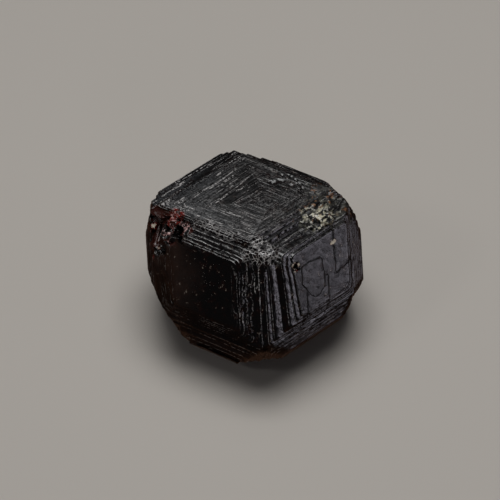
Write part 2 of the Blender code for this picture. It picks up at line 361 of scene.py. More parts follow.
def within(distance: Array, reach: Array | float, fade: float) -> Array:
    """0 from the reach on, and 1 where the distance falls short of it by the fade or more."""
    return smooth((reach - distance) / fade)


def past(distance: Array, start: Array | float, fade: float) -> Array:
    """0 up to the start, and 1 where the distance is past it by the fade or more."""
    return smooth((distance - start) / fade)


def from_line(offsets: Array, way: Array) -> Array:
    """The distances of points from the line through the origin along a unit vector."""
    return np.linalg.norm(offsets - (offsets @ way)[:, None] * way, axis=1)


def closed_grid(rows: int, columns: int) -> tuple[Array, Array, Array]:
    """Numbers the points of a grid whose rows are closed loops.

    Args:
        rows: how many rows.
        columns: how many points a row has.

    Returns:
        Each point's number, the number of the next point in its row, and the quads between rows.
    """
    index = np.arange(rows * columns).reshape(rows, columns)
    ahead = np.roll(index, -1, axis=1)
    quads = np.stack([index[:-1], ahead[:-1], ahead[1:], index[1:]], axis=-1).reshape(-1, 4)
    return index, ahead, quads


def outline_distance(points: Array, corners: Array) -> Array:
    """How far points in a plane lie from a closed outline, less than zero inside it.

    The distance is the least of those to the sides. A point is inside where a line from it to the
    right crosses the outline an odd number of times.

    Args:
        points: places, as points by two.
        corners: the outline's corners in order.

    Returns:
        The distances.
    """
    ends = np.roll(corners, -1, axis=0)
    ways = ends - corners
    offsets = points[:, None, :] - corners
    shares = np.clip((offsets * ways).sum(axis=-1) / (ways**2).sum(axis=-1), 0, 1)
    nearest = np.linalg.norm(offsets - shares[..., None] * ways, axis=-1).min(axis=1)
    level = points[:, 1:2]
    spans = (corners[:, 1] > level) != (ends[:, 1] > level)
    rise = np.where(ways[:, 1] == 0, 1.0, ways[:, 1])
    crossing = corners[:, 0] + (level - corners[:, 1]) / rise * ways[:, 0]
    inside = (spans & (points[:, :1] < crossing)).sum(axis=1) % 2 == 1
    return np.where(inside, -nearest, nearest)


# ---- Rings round a face ----


@dataclass(frozen=True)
class Ring:
    """One of the rings of a face, which run from the core's edge to the middle."""

    insets: Array  # the distance of each of the four sides from the core's edge
    height: float  # the height over the core's face
    layer: int  # the layer whose edge the ring follows, which wanders as one
    wander: Array  # how far the ring's layer may stray to either side, for each side
    share: float = 0.0  # how far the ring is drawn in towards the face's middle
    edge: float = 0.0  # 1 on the upper edge of a riser, 0.5 on a groove's, and 0 elsewhere
    fading: float = 0.0  # how much of the ring's height comes and goes along it


def gather(rings: list[Ring], name: str) -> Array:
    """One attribute of all the rings, as one entry or row to a ring."""
    return np.array([getattr(ring, name) for ring in rings], float)


@dataclass
class LoopPoints:
    """Where the points of a ring lie: on the straight part of a side, or on a corner's arc."""

    counts: tuple[int, int, int, int]  # points on the straight part of each side
    crowding: float  # 0 for even points, and towards 1 for points that crowd near u = 0, v = 0
    arc: int = 9  # points on each corner's arc

    CORNER_SHARE = 0.06  # the share of a side that half a corner's arc takes up

    def __post_init__(self) -> None:
        """Works out each point's side, whether it is on an arc, and how far along that it is."""
        side, on_arc, along = [], [], []
        for number, count in enumerate(self.counts):
            side += [number] * (count + self.arc)
            on_arc += [False] * count + [True] * self.arc
            along += list(self.straight(number, count))
            along += list((np.arange(self.arc) + 1) / (self.arc + 1))
        self.side = np.array(side)
        self.on_arc = np.array(on_arc)
        self.along = np.array(along)
        half = self.CORNER_SHARE
        straight, around_corner = half + (1 - 2 * half) * self.along, 1 - half + 2 * half * self.along
        self.places = (self.side + np.where(self.on_arc, around_corner, straight)) % 4.0

    def straight(self, number: int, count: int) -> Array:
        """How far along its side each point of the straight part lies.

        Even steps t become (1 - c) t + c t squared from the crowded corner, with c the crowding.

        Args:
            number: the side.
            count: its points.

        Returns:
            Values from 0 to 1.
        """
        steps = np.linspace(0, 1, count)
        if number == 0:
            return (1 - self.crowding) * steps + self.crowding * steps**2
        if number == 3:
            back = 1 - steps
            return 1 - ((1 - self.crowding) * back + self.crowding * back**2)
        return steps


@dataclass
class CrystalFace:
    """One face of the crystal with its rings."""

    face: Face  # which face
    ledges: Ledges  # its rim
    interior: Interior  # its middle
    loop: LoopPoints  # the points of its rings
    seed: int  # picks its random numbers

    UNEVEN_TREADS = 0.6
    FINE_STEP = 0.018  # height of the small step in the middle of a tread
    FINE_PLACE = 0.55  # where that step is, as a share of the tread
    STRAY = 0.42  # how far a ledge may wander, as a share of its tread
    # The three parts of a wander: random values to a loop, sharpness and share.
    WANDER = ((22, 3.0, 0.5), (90, 1.6, 0.3), (6, 1.0, 0.35))
    EDGE_WIDTH = 0.045  # width of the worn edge along each riser's top, where a highlight is also painted, and its height on the riser
    SHARP_CORNER = 0.8  # how far from a corner the points of its arc begin on the core's edge
    ROUND_FROM = 0.6  # how far in from the core's edge a ring's corners are fully rounded
    UNEVEN_GROOVES, UNEVEN_RISES = 0.55, 0.8
    GROOVE_DEPTHS = (0.25, 1.6)  # the least and the largest, over the usual depth
    GROOVE_STRAY = 0.33  # how far a groove may wander, as a share of the distance to the next
    GROOVE_FADE = 0.95  # how much of a groove's depth comes and goes
    GROOVE_WIDTH = 0.34  # half the width of a groove, as a share of the distance to the next
    CALM_GROWTH = 2.4  # the calm of a side is full after this part of it, as one over the share
    CAP_SHARE = 0.985  # how far towards the middle the last ring lies
    TRACK_STEP = 17.0  # keeps the patterns of the faces apart
    # The waver of the terraces' outlines: how far, cell size and seed of its first coordinate.
    WAVER = ((0.15, 0.9, 71), (0.04, 0.3, 73))

    def __post_init__(self) -> None:
        """Works out the face's place, spans and angles."""
        first, second, beyond = self.face.value
        self.corner = core_corner(beyond)
        self.along = np.array([GROWTH[first], GROWTH[second]])
        self.span = np.array([GROWTH_MM[first], GROWTH_MM[second]])
        self.cosine = float(self.along[0] @ self.along[1])
        self.skew = math.sqrt(1 - self.cosine**2)
        self.normal = face_normal(self.face)
        self.neighbours = side_neighbours(self.face)
        self.random = np.random.default_rng(SEED + self.seed)

    def treads(self) -> Array:
        """Works out the tread of each ledge on each side.

        Returns:
            The treads, as ledges by sides.
        """
        count = len(self.ledges.heights)
        columns = []
        for neighbour in self.neighbours:
            given = self.ledges.treads.get(neighbour, self.ledges.elsewhere)
            if isinstance(given, tuple):
                columns.append(np.array(given))
            else:
                columns.append(spread(given, count, self.random, self.UNEVEN_TREADS))
        return np.array(columns).T

    def rings(self) -> list[Ring]:
        """Lays out the rings of the whole face.

        Returns:
            The core's edge, six rings to a ledge, and the rings of the striated middle.
        """
        inset, height, still = np.zeros(4), 0.0, np.zeros(4)
        rings = [Ring(inset, height, 0, still)]
        for layer, (rise, tread) in enumerate(zip(self.ledges.heights, self.treads()), start=1):
            stray = tread * self.STRAY
            middle = inset + tread * self.FINE_PLACE
            rings.append(Ring(middle, height, layer, stray * 0.5))
            fine = min(self.FINE_STEP, rise * 0.2)
            rings.append(Ring(middle + fine * RISER_LEAN, height + fine, layer, stray * 0.5))
            inset, height = inset + tread, height + fine
            rings.append(Ring(inset, height, layer, stray))
            climb = rise - fine
            below = climb - min(self.EDGE_WIDTH * 1.5, climb * 0.6)
            rings.append(Ring(inset + below * RISER_LEAN, height + below, layer, stray))
            inset, height = inset + climb * RISER_LEAN, height + climb
            rings.append(Ring(inset, height - self.EDGE_WIDTH / 3, layer, stray, edge=1.0))
            inset = inset + self.EDGE_WIDTH
            rings.append(Ring(inset, height, layer, stray))
        self.add_interior(rings, inset, height)
        return rings

    def add_interior(self, rings: list[Ring], inset: Array, height: float) -> None:
        """Adds the rings of the grooved middle.

        Args:
            rings: where they are added.
            inset: the insets of the last ledge.
            height: its height.
        """
        interior = self.interior
        half_width = min(self.span) * self.skew / 2 - inset.mean()
        spacing = spread(interior.reach, interior.grooves, self.random, self.UNEVEN_GROOVES)
        rises = spread(interior.rise, interior.grooves, self.random, self.UNEVEN_RISES)
        depths = interior.depth * spacing * half_width
        depths = depths * self.random.uniform(*self.GROOVE_DEPTHS, interior.grooves)
        room = np.minimum(spacing, np.append(spacing[1:], spacing[-1]))
        layer = rings[-1].layer
        for share, gap, half, rise, depth in zip(
            np.cumsum(spacing), spacing, room * self.GROOVE_WIDTH, rises, depths
        ):
            layer += 1
            if depth == 0:
                rings.append(Ring(inset, height, layer, np.zeros(4), share))
                continue
            stray = np.full(4, gap * half_width * self.GROOVE_STRAY)
            rings.append(Ring(inset, height, layer, stray, share - half, 0.5))
            fading = self.GROOVE_FADE * depth
            rings.append(Ring(inset, height - depth, layer, stray, share, 0.0, fading))
            height += rise
            climb = rise * RISER_LEAN / half_width
            rings.append(Ring(inset, height, layer, stray, share + half + climb, 0.5))
        rings.append(Ring(inset, height, layer, np.zeros(4), self.CAP_SHARE))

    def corner_rounding(self, rings: list[Ring]) -> Array:
        """Works out how round the rings are: sharp on the core's edge, and rounder inwards.

        Args:
            rings: the rings.

        Returns:
            The radius of each ring's four corners, as rings by corners.
        """
        grown = smooth(gather(rings, "insets").mean(axis=1) / self.ROUND_FROM)[:, None]
        radii = np.array(self.ledges.rounding)
        return self.SHARP_CORNER + (radii - self.SHARP_CORNER) * grown

    def strays(self, rings: list[Ring]) -> Array:
        """How far each point of each ring wanders inwards.

        Each layer has its own wander: level stretches with short jogs, a finer waver and a slow
        trend, so that treads widen and narrow.

        Args:
            rings: the rings.

        Returns:
            The distances in millimetres, as rings by points.
        """
        layers = gather(rings, "layer").astype(int)
        count, places = layers.max() + 1, self.loop.places
        wander = sum(
            share * loop_noise(places, count, cells, self.random, sharpness)
            for cells, sharpness, share in self.WANDER
        )
        calm = np.array([self.ledges.calm.get(neighbour, 0.0) for neighbour in self.neighbours])
        far = np.where(self.loop.side == 3, 1 - self.loop.along, self.loop.along)
        far = np.where(self.loop.on_arc, 1.0, far)
        steady = 1 - calm[self.loop.side] * smooth(far * self.CALM_GROWTH)
        amount = gather(rings, "wander")[:, self.loop.side] * steady
        return amount * wander[layers]

    def end_insets(self, rings: list[Ring]) -> tuple[Array, Array]:
        """Works out the inset of each side at its start and at its end.

        The near end of a side is its start, except on the last side, which comes back to the
        corner where the first side starts.

        Args:
            rings: the rings.

        Returns:
            The insets at the starts and those at the ends, as rings by sides.
        """
        fan = np.array([self.ledges.fans.get(neighbour, 0.0) for neighbour in self.neighbours])
        insets = gather(rings, "insets") / self.skew
        near, far = insets * (1 - fan), insets * (1 + fan)
        starts, ends = near.copy(), far.copy()
        starts[:, 3], ends[:, 3] = far[:, 3], near[:, 3]
        return starts, ends

    def track(self, rings: list[Ring]) -> Array:
        """How far each ring point lies in from the core's edge, and how far round the face.

        How far in is one value for a whole ring. The way round is wound onto a circle as long as
        the ring, so that a pattern drawn over it has no seam.

        Args:
            rings: the rings.

        Returns:
            The depth, and the place on the circle, as rings by points by three.
        """
        width = min(self.span) * self.skew / 2
        shares = gather(rings, "share")[:, None]
        depth = gather(rings, "insets").mean(axis=1)[:, None]
        depth = depth + (width - depth) * shares
        radius = self.span.sum() / math.pi * (1 - shares)
        turn = self.loop.places[None, :] * math.pi / 2
        wide = depth + self.seed * self.TRACK_STEP + 0 * turn
        return np.stack([wide, radius * np.cos(turn), radius * np.sin(turn)], axis=-1)

    def terrace_edges(self, flat: Array) -> Array:
        """How far each point lies from each terrace's edge, less than zero on the terrace.

        An earlier terrace lies over the later ones and hides their edges.

        Args:
            flat: places in the face's plane.

        Returns:
            Distances in millimetres, as points by three terraces.
        """
        found = np.full((len(flat), 3), FAR_FROM_TERRACES)
        covered = np.full(len(flat), -FAR_FROM_TERRACES)
        wave, waved = np.hstack([flat, np.zeros((len(flat), 1))]), flat
        for far, size, seed in self.WAVER:
            both = [solid_noise(wave, size, seed), solid_noise(wave, size, seed + 1)]
            waved = waved + far * np.stack(both, axis=-1)
        for number, terrace in enumerate(TERRACES.get(self.face, ())):
            corners = np.array(terrace.corners)
            corners = np.stack([corners @ [1.0, self.cosine], corners[:, 1] * self.skew], axis=-1)
            distance = np.maximum(outline_distance(waved, corners) - terrace.rounding, covered)
            found[:, number] = distance
            covered = np.maximum(covered, -distance)
        return found

    def outline(self, rings: list[Ring]) -> tuple[Array, Array]:
        """The places of all ring points.

        The sides of a ring are straight lines between its corners. Each corner is an arc, a
        quadratic curve from a point on one side to a point on the next with the corner as its
        control point; on the core's edge it is the two straight stretches instead.

        Args:
            rings: the rings.

        Returns:
            The (u, v) places in millimetres and the heights, as rings by points.
        """
        starts, ends = self.end_insets(rings)
        high_u, high_v = self.span
        corners = np.array(
            [
                [ends[:, 3], starts[:, 0]],
                [high_u - starts[:, 1], ends[:, 0]],
                [high_u - ends[:, 1], high_v - starts[:, 2]],
                [starts[:, 3], high_v - ends[:, 2]],
            ]
        ).transpose(2, 0, 1)  # rings, corners, (u, v)
        ways = unit(np.roll(corners, -1, axis=1) - corners)
        inward = np.array([[0.0, 1.0], [-1.0, 0.0], [0.0, -1.0], [1.0, 0.0]])
        radii = self.corner_rounding(rings)
        side, following = self.loop.side, (self.loop.side + 1) % 4
        along = self.loop.along[None, :, None]
        start = corners[:, side] + ways[:, side] * radii[:, side, None]
        end = corners[:, following] - ways[:, side] * radii[:, following, None]
        straight = start + (end - start) * along
        leave = corners[:, following] + ways[:, following] * radii[:, following, None]
        middle = corners[:, following]
        curve = (1 - along) ** 2 * end + 2 * along * (1 - along) * middle + along**2 * leave
        first_half = end + (middle - end) * np.minimum(along * 2, 1)
        bend = first_half + (leave - middle) * np.maximum(along * 2 - 1, 0)
        roundness = smooth(gather(rings, "insets").mean(axis=1) / 0.5)[:, None, None]
        arc = bend + (curve - bend) * roundness
        places = np.where(self.loop.on_arc[None, :, None], arc, straight)
        turn = np.where(self.loop.on_arc, self.loop.along, 0.0)[:, None]
        inwards = inward[side] * (1 - turn) + inward[following] * turn
        places = places + inwards[None] * (self.strays(rings) / self.skew)[..., None]
        centre = np.array(self.interior.centre) * self.span
        shares = gather(rings, "share")[:, None, None]
        places = places + (centre - places) * shares
        layers = gather(rings, "layer").astype(int)
        fade = 0.5 + 0.5 * loop_noise(self.loop.places, layers.max() + 1, 30, self.random, 1.5)
        heights = gather(rings, "height")[:, None] + gather(rings, "fading")[:, None] * fade[layers]
        return places, heights

    def build(self) -> dict[str, Array]:
        """Computes the face's mesh.

        Returns:
            Points in millimetres, the quads of the ring strips, the triangles of the middle, and
            per point the edge mask, the track, the flat (x, y) place in the face's plane, the
            distances to the terraces' edges and how far inside the ledges it is.
        """
        rings = self.rings()
        places, heights = self.outline(rings)
        ring_count, point_count = heights.shape
        points = self.corner + places @ self.along + heights[..., None] * self.normal
        centre = np.array(self.interior.centre) * self.span
        middle = self.corner + centre @ self.along + rings[-1].height * self.normal
        flat = np.stack(
            [places[..., 0] + places[..., 1] * self.cosine, places[..., 1] * self.skew], axis=-1
        )
        flat_middle = np.array([centre[0] + centre[1] * self.cosine, centre[1] * self.skew])
        index, ahead, quads = closed_grid(ring_count, point_count)
        tip = np.full(point_count, index.size)
        triangles = np.stack([index[-1], ahead[-1], tip], axis=-1)
        if np.cross(self.along[0], self.along[1]) @ self.normal < 0:
            quads, triangles = quads[:, ::-1], triangles[:, ::-1]
        edge = np.repeat(gather(rings, "edge"), point_count)
        track = self.track(rings).reshape(-1, 3)
        flat = np.vstack([flat.reshape(-1, 2), flat_middle])
        terrace = self.terrace_edges(flat)
        raised = TERRACE_HIGH_MM * smooth(0.5 - terrace / TERRACE_RAMP_MM).max(axis=1)
        return {
            "points": np.vstack([points.reshape(-1, 3), middle]) + raised[:, None] * self.normal,
            "quads": quads,
            "triangles": triangles,
            "edge": np.append(edge, 0.0),
            "track": np.vstack([track, track[-1]]),
            "flat": flat,
            "terrace": terrace,
            "inner": np.append(np.repeat(smooth(gather(rings, "share") * 12), point_count), 1.0),
        }


# ---- Breaks and chips ----


NO_BORDER_MM = 1.0  # a distance from a shard's border at which none of it shows


def facing(azimuth: float, elevation: float) -> Array:
    """The unit vector that points so many degrees round from the front towards +X, and up."""
    turn, lift = math.radians(azimuth), math.radians(elevation)
    return np.array([math.sin(turn) * math.cos(lift), -math.cos(turn) * math.cos(lift), math.sin(lift)])


def unit(vectors: Array) -> Array:
    """Vectors divided by their lengths."""
    return vectors / np.linalg.norm(vectors, axis=-1, keepdims=True)


@dataclass
class Damage:
    """What the breaks leave at each point of the mesh."""

    fresh: Array  # how fresh the break is, from 0 to 1
    shard: Array  # its shard's number: black near 0, then deep red, bright red, and cream near 1
    seam: Array  # the distance to the shard's border in millimetres

    @classmethod
    def none(cls, count: int) -> "Damage":
        """No damage at any of the points."""
        return cls(np.zeros(count), np.full(count, 0.5), np.full(count, NO_BORDER_MM))

    def mark(self, where: Array, fresh: Array, shard: Array | float) -> None:
        """Notes a break at the chosen points, with how fresh it is and its shard's number."""
        self.fresh = np.where(where, np.maximum(self.fresh, fresh), self.fresh)
        self.shard = np.where(where & (fresh > 0.02), shard, self.shard)

    def outline(self, distance: Array) -> None:
        """Notes a border at a distance from each point."""
        self.seam = np.minimum(self.seam, distance)


@dataclass(frozen=True)
class FlatBreak:
    """A corner taken off along a rough plane."""

    corner: str  # the corner of the core that it takes off
    azimuth: float  # where the break faces, in degrees
    elevation: float  # the same, upwards
    outside: float  # how far outside the corner the plane passes
    roughness: float = 0.10  # how far the break departs from its plane
    red: float = 0.3  # how much of the red of broken garnet it shows
    shard: float = 0.30  # how bright that red is

    def cut(self, points: Array, damage: Damage) -> Array:
        """Moves what lies beyond the plane straight back onto it.

        Args:
            points: the mesh's points.
            damage: where the break is noted.

        Returns:
            The points.
        """
        normal = facing(self.azimuth, self.elevation)
        uneven = solid_noise(points, 1.1, 31, 1.5) + 0.5 * solid_noise(points, 0.45, 32, 2.0)
        beyond = (points - core_corner(self.corner)) @ normal - self.outside
        beyond = beyond + uneven * self.roughness
        taken = np.maximum(beyond, 0.0)
        damage.mark(taken > 0, self.red * smooth(taken / 0.12), self.shard)
        return points - taken[:, None] * normal


@dataclass(frozen=True)
class Bite:
    """A shell-shaped chip: a ball that takes out what lies inside it."""

    centre: Array  # the ball's middle in millimetres
    out: Array  # the direction out of the crystal there
    radius: float  # the ball's radius
    red: float = 1.0  # how much of the red of broken garnet it shows
    shard: float = 0.4  # how bright that red is

    def cut(self, points: Array, damage: Damage) -> Array:
        """Moves what lies inside the ball inwards onto its far wall.

        A point at a distance from the ball's axis goes down the axis as far as the wall, whose
        depth is the root of the squared radius less that squared distance.

        Args:
            points: the mesh's points.
            damage: where the chip is noted.

        Returns:
            The points.
        """
        offset = points - self.centre
        height = offset @ self.out
        across = np.linalg.norm(offset - height[:, None] * self.out, axis=1)
        wall = np.sqrt(np.maximum(self.radius**2 - across**2, 0.0))
        near = (height > -self.radius) & (height < self.radius * 1.5)
        inside = (across < self.radius) & (height > -wall) & near
        taken = np.where(inside, height + wall, 0.0)
        damage.mark(inside, self.red * smooth(taken / 0.06), self.shard)
        damage.seam[inside] = NO_BORDER_MM
        edge = np.abs(np.linalg.norm(offset, axis=1) - self.radius)
        damage.outline(np.where(near & ~inside & (self.red > 0), edge, NO_BORDER_MM))
        return points - taken[:, None] * self.out


@dataclass(frozen=True)
class Facets:
    """A splintered patch: flat facets at random heights and tilts, none proud of the surface."""

    centre: Array  # the middle of the patch in millimetres
    reach: float  # its radius
    out: Array  # the direction out of the crystal there
    count: int  # how many facets
    depth: float  # how far in the deepest facet lies
    tilt: float  # how steeply a facet may lean
    seed: int  # picks the facets
    red: float = 1.0  # how much of the red of broken garnet it shows
    brightest: float = 1.0  # the number of its brightest shard
    dullest: float = 0.0  # the number of its dullest shard
    bordered: bool = True  # whether pale borders part the shards

    def cut(self, points: Array, damage: Damage) -> Array:
        """Moves each point in the patch inwards onto its facet's plane.

        Each facet grows around one of the patch's own points and owns what is nearest to it. Its
        plane passes a random depth below that point and leans a random way. What already lies
        below the plane stays.

        Args:
            points: the mesh's points.
            damage: where the facets are noted.

        Returns:
            The points.
        """
        random = np.random.default_rng(SEED + self.seed)
        uneven = 1 + 0.25 * solid_noise(points, 1.0, self.seed, 1.5)
        distance = np.linalg.norm(points - self.centre, axis=1) / (self.reach * uneven)
        members = np.flatnonzero((distance < 1) & ((points - self.centre) @ self.out > -self.reach))
        if len(members) <= self.count:
            return points
        places = points[members]
        seeds = places[random.choice(len(places), self.count, replace=False)]
        lengths = np.sqrt(((places[:, None, :] - seeds[None, :, :]) ** 2).sum(axis=2))
        owner = lengths.argmin(axis=1)
        two = np.partition(lengths, 1, axis=1)
        normals = unit(self.out + random.normal(0, self.tilt, (self.count, 3)))
        levels = random.uniform(0, self.depth, self.count)
        height = ((places - seeds[owner]) * normals[owner]).sum(axis=1)
        slant = normals[owner] @ self.out
        share = smooth((1 - distance[members]) * 4)
        taken = np.clip(height / slant + levels[owner], 0, self.depth * 2.5) * share
        moved = points.copy()
        moved[members] = places - taken[:, None] * self.out
        fresh, shard = np.zeros(len(points)), np.zeros(len(points))
        fresh[members] = self.red * smooth(share * 2)
        shard[members] = random.uniform(self.dullest, self.brightest, self.count)[owner]
        damage.mark(fresh > 0, fresh, shard)
        border = np.full(len(points), NO_BORDER_MM)
        border[members] = (two[:, 1] - two[:, 0]) / 2 + (1 - share)
        damage.seam[members] = NO_BORDER_MM
        if self.bordered:
            damage.outline(border)
        return moved


FLAT_BREAKS = (
    FlatBreak("A", -80, 40, 0.35, red=0.9, shard=0.42),
    FlatBreak("A", -55, 15, 0.75, red=0.9, shard=0.36),
    FlatBreak("B", 104, 30, 0.55),
    FlatBreak("B", 88, 52, 0.60),
    FlatBreak("B", 120, 29, -0.65),
    FlatBreak("AC", -72, -21, -0.60),
    FlatBreak("AC", -50, -5, -0.45),
    FlatBreak("AC", -80, -15, -0.50),
    FlatBreak("BC", 62, -18, 0.20),
    # Painted shade: a black break under the front that does not shine.
    FlatBreak("C", 4, -9, -0.45, red=0.9, shard=0.0),
    FlatBreak("ABD", 172, -4, -0.70),
    FlatBreak("AB", -165, 35, 0.70, roughness=0.03, red=0.0),
)

# Bites and pits beside the left corner: distance from that corner along the rim towards the
# front, distance out of it, height over the top of the core, and radius.
RIM_BITES_MM = (
    (0.2, 0.9, 0.7, 1.30),
    (1.8, 1.0, 0.8, 1.25),
    (3.4, 1.1, 0.3, 1.05),
    (1.0, 1.7, -1.6, 1.20),
)
# Painted shade: the dark pits are black and metallic, so nothing shines in them.
DARK_PITS_MM = ((3.95, 0.66, -0.84, 0.64), (4.66, 1.30, -1.30, 0.32))

# The splintered patches beside the left corner: places as for the bites, and the flakes' reach.
SPLINTERED_RIM_MM = (3.0, 0.5, -0.9)
SPLINTERED_EDGE_MM = (1.2, 1.3, -2.6)
RED_SPLINTERS_MM = (3.2, 0.0, -0.35)
RED_BY_PIT_MM = (4.6, 0.30, -0.75)
DARK_SPLINTERS_MM = (2.5, 1.0, -1.7)
# The last of these pale flakes is a painted glint.
PALE_FLAKES_AND_GLINT_MM = ((0.8, 0.5, -1.95, 0.5), (1.0, 0.9, -3.05, 0.38), (2.1, 1.9, -3.5, 0.25))
SMOOTH_FACET_MM = (0.95, 0.30, -0.75)

# Directions out of the crystal: level out of the left rim, out of the rim's broken edge, out of
# the corner's broken edge, and out of the dark pits.
OUT_OF_LEFT_RIM = np.array([-GROWTH["A"][1], GROWTH["A"][0], 0.0])
RIM_WAY = unit(np.array([-0.60, -0.52, 0.60]))
EDGE_WAY = unit(np.array([-0.75, -0.60, 0.30]))
PIT_WAY = unit(np.array([-0.45, -0.62, 0.64]))


@dataclass(frozen=True)
class Spot:
    """A place on the crystal where the mesh is finer."""

    centre: Array  # its middle in millimetres
    reach: float  # how far around it the mesh is finer
    longest: float  # edges shorter than this stay whole


def beside_left_corner(along: float, out: float, up: float) -> Array:
    """The place so far from the left corner along the rim, out of the rim, and over the core's top."""
    return core_corner("A") - GROWTH["A"] * along + OUT_OF_LEFT_RIM * out + [0.0, 0.0, up]


# ---- The crystal ----


@dataclass
class Crystal:
    """The whole crystal as one mesh."""

    name: str = "garnet_crystal_dressed"  # the piece's name
    fine: int = 76  # points along the straight part of the sides that meet at the front top corner
    coarse: int = 20  # points along the straight part of every other side
    crowding: float = 0.5  # how much the fine points crowd near that corner

    MAP_COLUMNS = 4  # faces to a row of the UV map
    MAP_CELL_MM = 21.0  # room that a face has there
    MAP_MARGIN_MM = 0.5
    BROKEN_REACH = 5.52  # how far around the left corner the mesh is finer
    FLAT_FRESHNESS = 0.25  # what is fresher than this is shaded facet by facet
    SMALL_CHIPS = 26
    TOP_PITS = 34
    SHARP_DEGREES = 42

    def side_points(self, face: Face) -> tuple[int, ...]:
        """How many points each side of a face has: more between the three front faces.

        Args:
            face: the face.

        Returns:
            The number for each side.
        """
        front = (Face.TOP, Face.FRONT_LEFT, Face.FRONT_RIGHT)
        dense = [face in front and other in front for other in side_neighbours(face)]
        return tuple(self.fine if many else self.coarse for many in dense)

    def faces(self) -> list[dict[str, Array]]:
        """Computes the mesh of each face, with its own cell of the UV map.

        Returns:
            What CrystalFace.build returns, with the flat places turned into UV.
        """
        built = []
        for number, face in enumerate(Face):
            counts = self.side_points(face)
            crowding = self.crowding if self.fine in counts else 0.0
            interior = INTERIORS.get(face, INTERIOR_ELSEWHERE)
            loop = LoopPoints(counts, crowding)
            mesh = CrystalFace(face, LEDGES[face], interior, loop, number).build()
            cell = np.array([number % self.MAP_COLUMNS, number // self.MAP_COLUMNS])
            low = mesh["flat"].min(axis=0)
            mesh["flat"] = (mesh["flat"] - low + self.MAP_MARGIN_MM) / self.MAP_CELL_MM + cell
            mesh["flat"] = mesh["flat"] / self.MAP_COLUMNS
            built.append(mesh)
        return built

    def fine_spots(self) -> list[Spot]:
        """Where the mesh is finer.

        Returns:
            The broken corner, the mica's bed, the pitted top, the ring pit and the pale chips.
        """
        return [
            Spot(core_corner("A"), self.BROKEN_REACH, 0.18),
            Spot(MICA_MIDDLE, 3.6, 0.32),
            Spot(PITTED_MIDDLE, 2.8, 0.24),
            Spot(self.flat_place(*RING_PIT_MM), 0.8, 0.10),
            Spot(self.flat_place(*PALE_CHIPS_MM[1][:2]), 0.7, 0.10),
        ]

    def rim_bites(self) -> list[Bite]:
        """The large bites beside the left corner.

        Returns:
            The bites, each facing away from the corner of the rim.
        """
        bites = []
        for along, out, up, radius in RIM_BITES_MM:
            way = unit(OUT_OF_LEFT_RIM * out + np.array([0.0, 0.0, up]))
            bites.append(Bite(beside_left_corner(along, out, up), way, radius, shard=0.36))
        return bites

    def dark_pits(self) -> list[Bite]:
        """The two dark pits at the rim, black with painted shade."""
        places = [(beside_left_corner(*place), radius) for *place, radius in DARK_PITS_MM]
        return [Bite(place, PIT_WAY, radius, shard=0.02) for place, radius in places]

    def small_chips(self) -> list[Bite]:
        """Small chips around the left corner and down the left edge.

        Returns:
            The chips, at random places along the rim and down from it.
        """
        random = np.random.default_rng(SEED + 100)
        chips = []
        outward = unit(OUT_OF_LEFT_RIM + [0.0, 0.0, 0.35])
        for _ in range(self.SMALL_CHIPS):
            along, up = random.uniform(0.2, 5.4), random.uniform(-3.6, 0.2)
            radius = random.uniform(0.22, 0.62)
            way = unit(outward + random.normal(0, 0.35, 3))
            spot = core_corner("A") - GROWTH["A"] * along + [0.0, 0.0, up]
            chips.append(Bite(spot + way * radius * 0.8, way, radius, shard=random.uniform(0, 0.7)))
        return chips

    def top_pits(self) -> list[Bite]:
        """Small rough pits in the top, towards its right corner.

        Returns:
            The pits, spread around the middle of the pitted part.
        """
        random = np.random.default_rng(SEED + 101)
        pits = []
        for _ in range(self.TOP_PITS):
            away = random.normal(0, 1.0, 2) * (1.3, 0.75)
            spot = PITTED_MIDDLE + GROWTH["A"] * away[0] - GROWTH["B"] * away[1]
            radius = random.uniform(0.14, 0.42)
            way = unit(np.array([0.0, 0.0, 1.0]) + random.normal(0, 0.3, 3))
            pits.append(Bite(spot + way * radius * 0.75, way, radius, red=0.0))
        return pits

    def splinters(self) -> list[Facets]:
        """The splintered patches around the left corner.

        Returns:
            The patches, in the order in which they are cut.
        """
        edge, rim, red, red_by_pit, smooth_facet, dark = (
            beside_left_corner(*place)
            for place in (SPLINTERED_EDGE_MM, SPLINTERED_RIM_MM, RED_SPLINTERS_MM, RED_BY_PIT_MM,
                          SMOOTH_FACET_MM, DARK_SPLINTERS_MM)
        )
        patches = [
            Facets(edge, 2.7, EDGE_WAY, 38, 0.26, 0.30, 2, brightest=0.88, bordered=False),
            Facets(rim, 2.1, RIM_WAY, 20, 0.36, 0.34, 1, brightest=0.90),
            Facets(red, 1.5, RIM_WAY, 50, 0.12, 0.36, 8, brightest=0.91, dullest=0.55),
            Facets(red_by_pit, 1.15, RIM_WAY, 30, 0.10, 0.36, 11, brightest=0.86, dullest=0.2),
            Facets(smooth_facet, 1.45, facing(-45, 42), 3, 0.25, 0.08, 4, brightest=0.60, dullest=0.53),
            Facets(dark, 1.0, EDGE_WAY, 16, 0.12, 0.3, 6, brightest=0.45),
        ]
        for *place, reach in PALE_FLAKES_AND_GLINT_MM:
            middle = beside_left_corner(*place)
            patches.append(Facets(middle, reach, EDGE_WAY, 4, 0.08, 0.3, 7, dullest=0.95, bordered=False))
        return patches

    def flat_place(self, across: float, down: float) -> Array:
        """A place on the front right face's flat, in millimetres."""
        out = face_normal(Face.FRONT_RIGHT) * FLAT_OUT_MM
        return FRONT_TOP_CORNER + GROWTH["B"] * across + GROWTH["C"] * down + out

